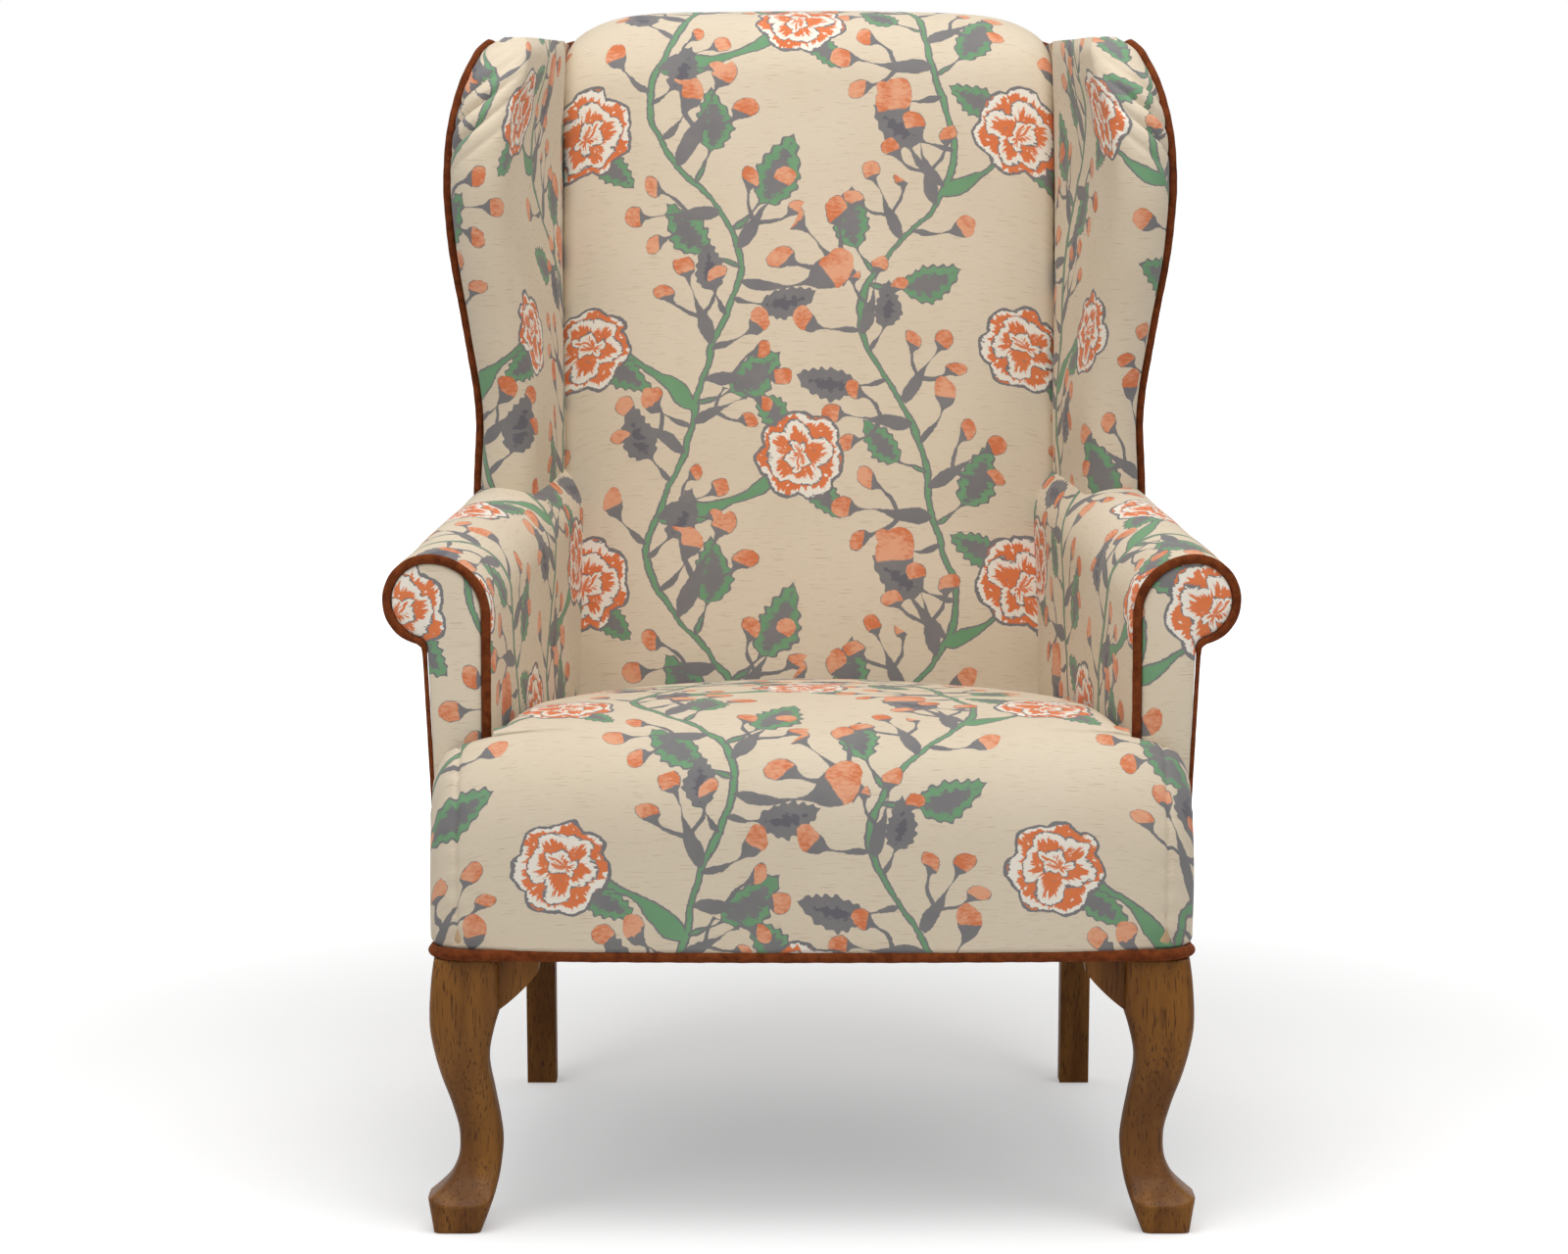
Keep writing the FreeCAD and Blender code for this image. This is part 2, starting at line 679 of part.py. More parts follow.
def arms_and_wings():
    """Both sides: boards, stuffing, covers, facings and outside panels."""
    made = {}
    for name, side in SIDES:
        post_low = RAIL_TOP
        outline = arm_outline(-d.arm_front, d.arm_wood_depth, post_low, NOTCH_FRONT)
        post = board(name + "_arm_post", "Y", -d.arm_front, -d.arm_front + d.post_board,
                     mirrored(side, outline))
        keep(name + "_arm_post", post)
        start = -d.arm_front + d.post_board
        rail_x = frame_half(start) - d.board_thickness / 2 - 2
        rail = long_board(name + "_arm_rail_long", side, start, rail_x,
                          d.scroll_z - 26, d.arm_rail_height, d.arm_climb)
        arm_rail = keep(name + "_arm_rail", cut(name + "_arm_rail", rail, post_room))
        tack = long_board(name + "_arm_tack_rail_long", side, start, rail_x,
                          PAD_BASE + 6, d.tack_rail_height, Size.of(0))
        tack_rail = keep(name + "_arm_tack_rail", cut(name + "_arm_tack_rail", tack, post_room))
        front_line_points = [wing_line(i, Size.of(14), Size.of(34)) for i in (0, 1, 2, 3, 4, 5, 6)]
        width = d.board_thickness
        top_z = front_line_points[-1][2]
        low_z = front_line_points[0][2]
        side_profile = ([(p[1], p[2]) for p in front_line_points]
                        + [(p[1] + width + 10, p[2]) for p in reversed(front_line_points)])
        front_profile = ([(p[0], p[2]) for p in front_line_points]
                         + [(p[0] - width, p[2]) for p in reversed(front_line_points)])
        near, far = ordered(side, Size.of(200), Size.of(400))
        side_view = board(name + "_wing_post_side", "X", near, far, side_profile)
        front_view = board(name + "_wing_post_front", "Y", Size.of(-200), Size.of(300),
                           mirrored(side, front_profile))
        blank = shared(name + "_wing_post_blank", side_view, front_view)
        below = rail_room(name, side, start, rail_x)
        wing_post = keep(name + "_wing_post", cut(name + "_wing_post", blank, below))
        top_x = front_line_points[-1][0] - width / 2
        top_start = front_line_points[-1][1]
        rear_x = d.rear_half_width - d.post_width / 2
        sections = []
        for y, x in ((top_start, top_x), (ARM_REAR + 60, rear_x)):
            box = [(x - width / 2, top_z), (x + width / 2, top_z),
                   (x + width / 2, top_z + 32), (x - width / 2, top_z + 32)]
            sections.append((y, mirrored(side, box)))
        top_rail = loft(name + "_wing_top_rail_long", "Y", sections, ruled=True)
        wing_top = keep(name + "_wing_top_rail", cut(name + "_wing_top_rail", top_rail, post_room))

        arm_outer = arm_loft(name + "_arm_form", side, Size.of(0), PAD_BASE)
        arm_inner = arm_loft(name + "_arm_stuffing", side, d.cloth + d.gap, PAD_BASE)
        arm_lining = arm_loft(name + "_arm_lining", side, d.cloth, PAD_BASE - 10, 10)
        keep(name + "_arm_pad", cut(name + "_arm_pad", arm_inner, post, arm_rail, tack_rail,
                                    wing_post, post_room))
        keep(name + "_inside_arm_cover", cut(name + "_inside_arm_cover", arm_outer, arm_lining,
                                             wing_post, post_room))
        arm_room = arm_loft(name + "_arm_room", side, -d.gap, PAD_BASE - 20, 20)
        roll_room = cut(name + "_roll_room", under_roll(name, side), post_room)
        arm_room_ahead = cut(name + "_arm_room_ahead", arm_room, post_room)
        back_post = NODES[name + "_back_post"]
        crest = NODES["crest_rail"]
        webbing = NODES["back_webbing"]
        wing_outer = wing_loft(name + "_wing_form", side, Size.of(0))
        wing_inner = wing_loft(name + "_wing_stuffing", side, d.cloth + 0.3)
        wing_lining = wing_loft(name + "_wing_lining", side, d.cloth, 10)
        keep(name + "_wing_pad", cut(name + "_wing_pad", wing_inner, arm_room_ahead, roll_room, wing_post,
                                     wing_top, back_post, crest, webbing, panel_room))
        keep(name + "_inside_wing_cover", cut(name + "_inside_wing_cover", wing_outer, wing_lining,
                                              arm_room_ahead, roll_room, crest, webbing, panel_room))
        made[name] = (arm_room, wing_outer)
        facing = facing_line(d.welt + 0.2, PAD_BASE)
        keep(name + "_arm_facing", board(name + "_arm_facing", "Y",
                                         -d.arm_front - d.facing_thickness, -d.arm_front,
                                         mirrored(side, facing)))
        route = facing_line(d.welt / 2, PAD_BASE + 20)
        start = route[0]
        place = -d.arm_front - d.welt / 2 - 0.2
        keep(name + "_arm_welt", piped(name + "_arm_welt", "Y", place, mirrored(side, route),
                                       "Z", start[1], (side * start[0], place), d.welt))
        outside_panels(name, side, arm_room_ahead, roll_room)
    return made


def facing_line(inset, base):
    """The arm facing's edge, moved inward: up the inner side, round the scroll, down the outer side."""
    shoulder = d.arm_crown_radius - inset
    shoulder_z = d.scroll_z + d.scroll_radius - d.arm_crown_radius
    roll = d.scroll_radius - inset
    half = math.sqrt(0.5)
    turn = FACING_TURN + inset
    lowest = d.seat_half_width - inset
    angle = math.radians(-75)
    notch = (d.scroll_x + roll * math.cos(angle), d.scroll_z + roll * math.sin(angle))
    centre = (notch[0] + turn * math.cos(angle), notch[1] + turn * math.sin(angle))
    bend = math.radians(142)
    return [
        (d.scroll_x - shoulder, base),
        (d.scroll_x - shoulder, shoulder_z),
        via(d.scroll_x - shoulder * half, shoulder_z + shoulder * half),
        (d.scroll_x, d.scroll_z + roll),
        via(d.scroll_x + roll, d.scroll_z + 0.001),
        notch,
        via(centre[0] + turn * math.cos(bend), centre[1] + turn * math.sin(bend)),
        (centre[0] - turn, centre[1]),
        (lowest + (centre[0] - turn - lowest) * (base - PAD_BASE) / (centre[1] - PAD_BASE), base),
    ]


def wing_front(share, wide, reach, thick):
    """Outer front corner of the wing at a station, and the line of its outer face."""
    z = d.wing_base + (d.wing_top - d.wing_base) * share
    x = WING_LOW_X + (d.wing_half_width - WING_LOW_X) * wide
    y = -(d.wing_reach * reach) + d.wing_thickness * thick / 2 * 0.9
    rear_x = d.rear_half_width + d.side_cloth
    slope = (x - rear_x) / (ARM_REAR + 70 - y)
    return x, y, z, slope


def under_roll(name, side):
    """The room outside the arm and below its roll's middle, which the wing stays out of."""
    sections = []
    for y in (-d.arm_front, ARM_REAR + 80):
        run = y + d.arm_front
        x = d.scroll_x - run * d.arm_inward
        z = d.scroll_z + run * d.arm_climb
        sections.append((y, mirrored(side, [(x, z - 200), (x + 200, z - 200), (x + 200, z), (x, z)])))
    return loft(name + "_under_roll", "Y", sections, ruled=True)


def outside_panels(name, side, arm_room, roll_room):
    """Outside arm and wing panels, and the welt along the wing's outer front edge."""
    low = d.leg_height + d.base_welt + 6
    ends = []
    for y, angle in ((-d.arm_front, NOTCH_FRONT), (d.back_low_rear, NOTCH_AT_POST), (ARM_REAR, NOTCH_REAR)):
        outline = arm_outline(y, Size.of(0), low, angle)
        high = outline[-2][1] - 2
        x = outline[-1][0] + 0.2
        ends.append((y, mirrored(side, [(x, low), (x + d.outer_panel, low),
                                        (x + d.outer_panel, high), (x, high)])))
    long_panel = loft(name + "_outside_arm_panel_long", "Y", ends, ruled=True)
    keep(name + "_outside_arm_panel", cut(name + "_outside_arm_panel", long_panel, panel_room))
    sections = []
    centres = []
    for station in WING_STATIONS[:-1]:
        x, y, z, slope = wing_front(*station)
        start = y + d.welt + PANEL_SET
        near = x - slope * (d.welt + PANEL_SET) + d.gap
        far = x - slope * (ARM_REAR + 70 - y) + d.gap
        sections.append((z, mirrored(side, [(near, start), (near + d.outer_panel, start),
                                            (far + d.outer_panel, ARM_REAR + 70), (far, ARM_REAR + 70)])))
        if station[0] >= 0:
            centres.append((z, (side * (x + d.welt / 2 + d.gap * 2), y + d.welt / 2)))
    long_panel = loft(name + "_outside_wing_panel_long", "Z", sections)
    keep(name + "_outside_wing_panel", cut(name + "_outside_wing_panel", long_panel, arm_room, roll_room,
                                           panel_room))
    keep(name + "_wing_welt", cut(name + "_wing_welt", roped(name + "_wing_welt_rope", "Z", centres, d.welt),
                                  arm_room))


def rail_room(name, side, start, rail_x):
    """All that lies under the top of the arm rail, where the wing post stands."""
    return long_board(name + "_under_wing_post", side, start, rail_x,
                      d.scroll_z - 26 - 300, d.arm_rail_height + 300, d.arm_climb)


def seat_section(x_share, inset, overrun):
    """Side view of the seat form at a share of its half width."""
    end = abs(x_share) ** 7
    peak = d.seat_height - d.seat_end_drop * end - 6 * x_share * x_share - inset
    front = -d.seat_front + d.rail_bow * x_share * x_share + 26 * abs(x_share) ** 9 + inset
    low = d.leg_height + 17 + inset
    rear = Size.of(190) + overrun
    return [
        (rear, low),
        (rear, peak - d.seat_back_drop),
        via(Size.of(-150), peak),
        (front + 60, peak - 12),
        via(front + 14, peak - 44),
        (front, peak - 108),
        via(front + 2, (peak - 108 + low) / 2),
        (front + 6, low),
    ]


SEAT_SIDE_GAP = 1.4
SEAT_SHARES = (-1, -0.96, -0.84, -0.5, 0, 0.5, 0.84, 0.96, 1)


def seat_loft(label, inset, overrun=0):
    half = d.seat_half_width - inset
    sections = [(half * s, seat_section(s, inset, overrun)) for s in SEAT_SHARES]
    return loft(label, "X", sections)


def back_section(x_share, inset, overrun):
    """Side view of the back form at a share of its half width."""
    fall = 3 * x_share ** 2 + 35 * x_share ** 8
    top = d.chair_height - fall - inset
    full = d.back_crown * (1 - 0.8 * x_share ** 4)
    low = PAD_BASE - overrun
    shoulder = top - 62
    mid = low + (shoulder - low) * 0.4
    return [
        (post_rear(low) + overrun, low),
        (post_rear(top - 8) + overrun, top - 8),
        (inside_back(top) + 76, top),
        via(inside_back(top) + 14 - full * 0.3 + inset, top - 22),
        (inside_back(shoulder) - full * 0.6 + inset, shoulder),
        via(inside_back(mid) - full + inset, mid),
        (inside_back(low) + inset, low),
    ]


BACK_SHARES = (-1, -0.93, -0.8, -0.45, 0, 0.45, 0.8, 0.93, 1)


def back_loft(label, inset, overrun=0):
    half = d.back_half_width - inset
    sections = [(half * s, back_section(s, inset, overrun)) for s in BACK_SHARES]
    return loft(label, "X", sections)


def seat_and_back(sides):
    """Seat and back stuffing with their covers, cut clear of the arms and of each other."""
    side_rooms = []
    for name, side in SIDES:
        front = -d.arm_front - d.welt - 1
        inner = []
        for y in (front, ARM_REAR):
            inner.append((d.scroll_x - (y + d.arm_front) * d.arm_inward - d.arm_crown_radius - SEAT_SIDE_GAP, y))
        wedge = [inner[0], (Size.of(500), front), (Size.of(500), ARM_REAR), inner[1]]
        side_rooms.append(board(name + "_arm_wedge", "Z", Size.of(200), Size.of(700), mirrored(side, wedge)))
    frame_room = board("seat_frame_room", "Z", Size.of(200), PAD_BASE - d.gap,
                       seat_plan(Size.of(0.3), Size.of(250)))
    back_outer = back_loft("back_form", Size.of(0))
    back_room = back_loft("back_room", -d.gap, 5)
    crest = crest_room()
    seat_inner = seat_loft("seat_stuffing", d.cloth + 0.3)
    seat_lining = seat_loft("seat_lining", d.cloth, 10)
    seat_outer = seat_loft("seat_form", Size.of(0))
    keep("seat_foam", cut("seat_foam", seat_inner, frame_room, back_room, *side_rooms))
    keep("seat_cover", cut("seat_cover", seat_outer, seat_lining, frame_room, back_room, *side_rooms))
    arm_rooms = [sides[name][0] for name, _ in SIDES]
    back_inner = back_loft("back_stuffing", d.cloth + 0.3)
    back_lining = back_loft("back_lining", d.cloth, 10)
    keep("back_foam", cut("back_foam", back_inner, crest, *arm_rooms))
    keep("inside_back_cover", cut("inside_back_cover", back_outer, back_lining, crest, *arm_rooms))


def crest_room():
    """The room of the back frame, its webbing and the hollow behind it, up to the crest rail."""
    web = d.strap_thickness + 0.2 + d.gap
    top = d.chair_height - d.crest_cover + 0.3
    low = PAD_BASE - 30
    half = d.rear_half_width + 5
    lean = [(post_front(low) - web, low), (post_front(low) + 300, low),
            (post_front(top) + 300, top), (post_front(top) - web, top)]
    side_view = board("crest_room_side", "X", -half, half, lean)
    inner = d.rear_half_width - d.post_width
    side = top - d.back_arch
    arch = [(-half, low), (half, low), (half, side), (inner, side),
            via(Size.of(0), top), (-inner, side), (-half, side)]
    front_view = board("crest_room_front", "Y", Size.of(100), Size.of(800), arch)
    return shared("crest_room", side_view, front_view)


def leaning(body):
    """Stand a body on the outside back: its own height runs up the back's slope."""
    bind(body, "Placement.Base.y", d.back_low_rear)
    bind(body, "Placement.Base.z", d.leg_height)
    body.Placement.Rotation = FreeCAD.Rotation(FreeCAD.Vector(1, 0, 0), 0)
    body.setExpression("Placement.Rotation.Axis.x", "1")
    body.setExpression("Placement.Rotation.Angle", "-1 * atan(" + BACK_SLOPE.text + ")")
    return body


def up_slope(z):
    """Distance along the outside back from the seat frame's underside to a height."""
    stretch = Size(math.sqrt(1 + BACK_SLOPE.value ** 2), "sqrt(1 + " + BACK_SLOPE.text + " ^ 2)")
    return (z - d.leg_height) * stretch


def back_edge(offset, low):
    """Outline of the outside back in its own plane, moved inward by an offset."""
    half = d.rear_half_width + d.side_cloth + d.outer_panel - offset
    corner = d.back_corner_radius - offset
    top = up_slope(d.chair_height - 5 - offset)
    shoulder = top - d.back_arch
    turn = math.radians(76)
    shoulder_x = half - corner * (1 - math.cos(turn))
    side_top = shoulder - corner * math.sin(turn)
    middle_x = half - corner * (1 - math.cos(turn / 2))
    middle = side_top + corner * math.sin(turn / 2)
    return [
        (half, low),
        (half, side_top),
        via(middle_x, middle),
        (shoulder_x, shoulder),
        via(Size.of(0), top),
        (-shoulder_x, shoulder),
        via(-middle_x, middle),
        (-half, side_top),
        (-half, low),
    ]


def outside_back_and_trim():
    """Outside back panel with its welt, base welt, webbing, hessian and dust cover."""
    thickness = d.back_panel_thickness - 0.2
    low = Size.of(8)
    keep("outside_back_panel",
         leaning(board("outside_back_panel", "Y", -thickness, Size.of(0), back_edge(Size.of(0.5), low))))
    route = back_edge(d.welt / 2, low)
    place = d.welt / 2 + 0.2
    keep("back_welt", leaning(piped("back_welt", "Y", place, route, "Z", low,
                                    (route[0][0], place), d.welt)))
    welt_z = d.leg_height + d.base_welt / 2 + 4
    path = seat_plan(d.base_welt / 2 + 0.3, Size.of(235))
    keep("base_welt", piped("base_welt", "Z", welt_z, path, "Y", Size.of(235), (path[0][0], welt_z),
                            d.base_welt))
    keep("seat_webbing_lengthwise", group("seat_webbing_lengthwise", straps("lengthwise")))
    keep("seat_webbing_crosswise", group("seat_webbing_crosswise", straps("crosswise")))
    front = -(d.rail_front - d.rail_thickness)
    near = d.scroll_x - d.arm_crown_radius + d.arm_wood_depth - 2
    far = d.rear_half_width - d.post_width - 2
    rear = post_front(RAIL_TOP) - 2
    keep("seat_hessian", board("seat_hessian", "Z", HESSIAN_BASE, HESSIAN_BASE + d.hessian,
                               [(-near, front), (near, front), (far, rear), (-far, rear)]))
    cover_top = d.leg_height - 0.2
    leg_inner = d.leg_top_inner - 4
    ear_edge = d.leg_top_inner - d.ear_width - 4
    leg_rear = -(d.leg_top_inner + d.leg_corner_set) + 5
    ear_rear = leg_rear + d.ear_width
    rear = post_front(d.leg_height) - 4
    right = [(ear_edge, -d.rail_front + 16), (ear_edge, leg_rear), (leg_inner + 20, leg_rear),
             (leg_inner + 20, ear_rear), (frame_half(ear_rear) - 8, ear_rear),
             (frame_half(rear) - 8, rear)]
    left = [(-x, y) for x, y in reversed(right)]
    keep("dust_cover", board("dust_cover", "Z", cover_top - d.dust_cover, cover_top, right + left))


STRAP_COUNT = 5
STRAP_PITCH = 98
LENGTHWISE_START = -196
CROSSWISE_START = -240


def straps(run):
    """Woven straps of the seat: each goes over and under the straps that cross it."""
    pieces = []
    across = run == "crosswise"
    own_start, cross_start = (CROSSWISE_START, LENGTHWISE_START) if across else (LENGTHWISE_START, CROSSWISE_START)
    for i in range(STRAP_COUNT):
        own = own_start + i * STRAP_PITCH
        if across:
            reach = frame_half(Size.of(own)) - 8
            ends = (-reach, reach)
        else:
            ends = (front_line(Size.of(own), 0) + 6, post_front(RAIL_TOP) + 2)
        low = STRAP_BASE
        high = STRAP_BASE + d.strap_wave * 2
        flat = d.strap_width / 2 + 3
        line = [(ends[0], low), (ends[0] + 16, low)]
        for j in range(STRAP_COUNT):
            centre = cross_start + j * STRAP_PITCH
            over = (i + j) % 2 == (0 if across else 1)
            level = high if over else low
            line += [(centre - flat, level), (centre + flat, level)]
        line += [(ends[1] - 16, low), (ends[1], low)]
        outline = line + [(a, z + d.strap_thickness) for a, z in reversed(line)]
        half = d.strap_width / 2
        pieces.append(board(run + "_strap" + str(i), "Y" if across else "X", own - half, own + half, outline))
    return pieces


def finish():
    """Check every object and sub-part, then write the sub-parts to their files."""
    doc.recompute()
    for item in doc.Objects:
        if "Invalid" in item.State or "Error" in item.State:
            print("FAILED", item.Name, item.State)
    os.makedirs("parts", exist_ok=True)
    for label, piece in NODES.items():
        shape = piece.Shape
        if shape.isNull() or not shape.isValid():
            print("BAD SHAPE", label)
            continue
        box = shape.optimalBoundingBox(False)
        print(label, len(shape.Solids), round(shape.Volume / 1000), [round(v, 1) for v in (
            box.XMin, box.XMax, box.YMin, box.YMax, box.ZMin, box.ZMax)])
        shape.exportStep("parts/" + label + ".step")


leg_bolts = seat_frame()
back_frame()
front_legs(leg_bolts)
side_forms = arms_and_wings()
seat_and_back(side_forms)
outside_back_and_trim()
finish()
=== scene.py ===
import math
import bpy
import numpy as np
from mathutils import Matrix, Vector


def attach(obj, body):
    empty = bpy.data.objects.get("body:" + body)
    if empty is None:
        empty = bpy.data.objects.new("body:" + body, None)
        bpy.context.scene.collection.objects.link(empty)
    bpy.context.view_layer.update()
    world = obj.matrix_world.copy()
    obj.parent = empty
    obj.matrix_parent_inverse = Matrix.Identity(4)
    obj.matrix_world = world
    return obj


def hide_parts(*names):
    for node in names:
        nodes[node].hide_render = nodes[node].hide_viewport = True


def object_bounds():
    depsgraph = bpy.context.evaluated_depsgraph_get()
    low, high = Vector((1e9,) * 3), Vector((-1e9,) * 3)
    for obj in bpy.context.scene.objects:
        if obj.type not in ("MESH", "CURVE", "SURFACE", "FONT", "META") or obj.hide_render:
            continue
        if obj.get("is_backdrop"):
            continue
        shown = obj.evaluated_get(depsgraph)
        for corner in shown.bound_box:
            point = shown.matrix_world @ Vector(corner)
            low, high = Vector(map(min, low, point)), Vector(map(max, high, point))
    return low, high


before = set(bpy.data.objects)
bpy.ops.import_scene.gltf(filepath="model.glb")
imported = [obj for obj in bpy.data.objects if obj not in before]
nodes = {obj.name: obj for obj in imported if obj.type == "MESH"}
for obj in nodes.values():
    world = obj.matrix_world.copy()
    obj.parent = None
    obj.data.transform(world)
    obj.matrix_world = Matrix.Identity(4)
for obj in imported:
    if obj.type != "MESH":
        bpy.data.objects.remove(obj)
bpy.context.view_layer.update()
SIDES = (("left", -1), ("right", 1))


# The studio: a white seamless floor with a soft shadow under the chair, a large soft lamp on each
# side of the camera and a pale world. The camera looks slightly down on the chair's front.
class Bench:
    """A node tree that is being filled: one method adds any node, and the commonest kinds have their own."""

    def __init__(self, tree):
        self.tree = tree

    def feed(self, socket, value):
        """Puts a link or a plain value into a socket."""
        if isinstance(value, Thread):
            self.tree.links.new(value.socket, socket)
        elif hasattr(value, "__len__") and len(value) == 3 and socket.type == "RGBA":
            socket.default_value = (*value, 1.0)
        else:
            socket.default_value = value

    def node(self, kind, settings=None, output=0, **values):
        """Adds a node: its settings first, then its sockets' values or links, named with _ for a space."""
        made = self.tree.nodes.new("ShaderNode" + kind)
        for name, value in (settings or {}).items():
            if name == "curve":
                curve = made.mapping.curves[0]
                while len(curve.points) < len(value):
                    curve.points.new(0.5, 0.5)
                for point, place in zip(curve.points, value):
                    point.location = place
                made.mapping.extend = "HORIZONTAL"
                made.mapping.update()
            else:
                setattr(made, name, value)
        for name, value in values.items():
            key = int(name[1:]) if name[0] == "_" else name.replace("_", " ")
            self.feed(made.inputs[key], value)
        return Thread(self, made.outputs[output])

    def mix(self, share, first, second):
        """Colour mix by a share from 0 to 1."""
        return self.node("Mix", {"data_type": "RGBA"}, 2, _0=share, _6=first, _7=second)

    def noise(self, place, scale, detail=2.0, rough=0.5, output=0):
        """Soft noise from 0 to 1 at a place."""
        return self.node("TexNoise", None, output, Vector=place, Scale=scale, Detail=detail, Roughness=rough)

    def stretch(self, place, scale, turn=(0.0, 0.0, 0.0)):
        """The place with each axis scaled, for grain and threads."""
        return self.node("Mapping", None, 0, Vector=place, Scale=scale, Rotation=turn)

    def vector(self, operation, *values, output=0):
        """Vector Math on the values in turn. Output 1 is a length."""
        return self.node("VectorMath", {"operation": operation}, output, **numbered(values))

    def finish(self, shader, colour, roughness, height, strength, distance):
        """Feeds a shader its colour and roughness, and a bump of a height as its normal."""
        self.feed(shader.inputs["Base Color"], colour)
        self.feed(shader.inputs["Roughness"], roughness)
        bump = self.node("Bump", None, 0, Height=height, Strength=strength, Distance=distance)
        self.feed(shader.inputs["Normal"], bump)


class Thread:
    """A socket of a node tree, with the operators that add Math nodes."""

    def __init__(self, bench, socket):
        self.bench = bench
        self.socket = socket

    def maths(self, operation, *others):
        """Math on this thread and then the others."""
        return self.bench.node("Math", {"operation": operation}, 0, **numbered((self, *others)))

    def __abs__(self):
        return self.maths("ABSOLUTE")

    def least(self, other):
        """The smaller of the two."""
        return self.maths("MINIMUM", other)

    def most(self, other):
        """The larger of the two."""
        return self.maths("MAXIMUM", other)

    def step(self, low, high):
        """0 below low, 1 above high, and a smooth ramp between."""
        return self.bench.node("MapRange", {"interpolation_type": "SMOOTHSTEP"}, 0,
                               Value=self, From_Min=low, From_Max=high)


def numbered(values):
    """Values for a node's sockets in their order."""
    return {"_" + str(i): value for i, value in enumerate(values)}


for sign, operation in (("add", "ADD"), ("sub", "SUBTRACT"), ("mul", "MULTIPLY"), ("truediv", "DIVIDE")):
    setattr(Thread, f"__{sign}__", lambda one, other, operation=operation: one.maths(operation, other))
    setattr(Thread, f"__r{sign}__", lambda one, other, operation=operation:
            one.bench.node("Math", {"operation": operation}, 0, _0=other, _1=one))


def material(name):
    """A new material, its bench and its shader."""
    made = bpy.data.materials.new(name)
    made.use_nodes = True
    tree = made.node_tree
    return made, Bench(tree), tree.nodes["Principled BSDF"]


focal_pixels, frame_pixels, sensor, tilt_down = 4403.67, 1600, 36, 6.478
camera_data = bpy.data.cameras.new("camera")
camera_data.sensor_width = sensor
camera_data.lens = focal_pixels / frame_pixels * sensor
camera_data.clip_end = 60
camera = bpy.data.objects.new("camera", camera_data)
camera.location = (-0.0250, -4.190, 0.9826)
camera.rotation_euler = (math.radians(90 - tilt_down), 0, 0)
bpy.context.collection.objects.link(camera)
scene = bpy.context.scene
scene.camera = camera
scene.view_settings.view_transform = "Standard"

world = bpy.data.worlds.new("pale world")
world.use_nodes = True
scene.world = world
sky = Bench(world.node_tree)
rays = sky.node("LightPath")
seen = rays.most(Thread(sky, rays.socket.node.outputs["Is Glossy Ray"]))
seen = seen.most(Thread(sky, rays.socket.node.outputs["Is Transmission Ray"]))
background = world.node_tree.nodes["Background"]
sky.feed(background.inputs["Color"], (1.0, 1.0, 1.0))
sky.feed(background.inputs["Strength"], 0.42 + seen * 0.58)

for name, place, aim, power, size in (
    ("key lamp", (-1.9, -2.7, 2.7), (0.0, 0.0, 0.55), 17.0, 1.9),
    ("fill lamp", (2.2, -2.5, 2.1), (0.0, 0.0, 0.55), 13.0, 2.0),
    ("top lamp", (0.0, -0.9, 3.3), (0.0, 0.0, 0.5), 58.0, 2.4),
):
    lamp = bpy.data.lights.new(name, "AREA")
    lamp.shape = "DISK"
    lamp.size = size
    lamp.energy = power
    held = bpy.data.objects.new(name, lamp)
    bpy.context.collection.objects.link(held)
    held.location = place
    away = np.array(place) - np.array(aim)
    held.rotation_euler = (math.atan2(math.hypot(away[0], away[1]), away[2]), 0,
                           math.atan2(away[0], -away[1]))

floor_reach, floor_z = 30, -0.0005
floor_mesh = bpy.data.meshes.new("floor")
corners = ((-1, -1), (1, -1), (1, 1), (-1, 1))
floor_mesh.from_pydata([(x * floor_reach, y * floor_reach, floor_z) for x, y in corners], [], [(0, 1, 2, 3)])
floor = bpy.data.objects.new("floor", floor_mesh)
bpy.context.collection.objects.link(floor)
paint, bench, shader = material("white floor")
shader.inputs["Base Color"].default_value = (0.82, 0.82, 0.82, 1)
shader.inputs["Roughness"].default_value = 0.9
shader.inputs["Specular IOR Level"].default_value = 0.0
place = bench.node("TexCoord", None, 3)
away = bench.vector("LENGTH", place, output=1)
seen = bench.node("LightPath")
shader.inputs["Emission Color"].default_value = (1, 1, 1, 1)
bench.feed(shader.inputs["Emission Strength"], seen * (0.33 + away.step(0.7, 2.6) * 0.64))
floor_mesh.materials.append(paint)
floor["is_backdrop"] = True


# Front legs: cabriole legs of stained hardwood, sawn from square stock to one outline on two faces,
# then rounded with a spokeshave down to the ankle. The foot flares to a toe edge and tapers to the floor.
def ease(place, places, values):
    """Smooth curve through given values: each stretch is a cubic, its slopes those between its neighbours."""
    places, values = np.asarray(places, float), np.asarray(values, float)
    slope = np.gradient(values, places)
    index = np.clip(np.searchsorted(places, place) - 1, 0, len(places) - 2)
    width = places[index + 1] - places[index]
    t = np.clip((place - places[index]) / width, 0, 1)
    rise = (2 * t**3 - 3 * t**2 + 1) * values[index] + (3 * t**2 - 2 * t**3) * values[index + 1]
    return rise + width * ((t**3 - 2 * t**2 + t) * slope[index] + (t**3 - t**2) * slope[index + 1])


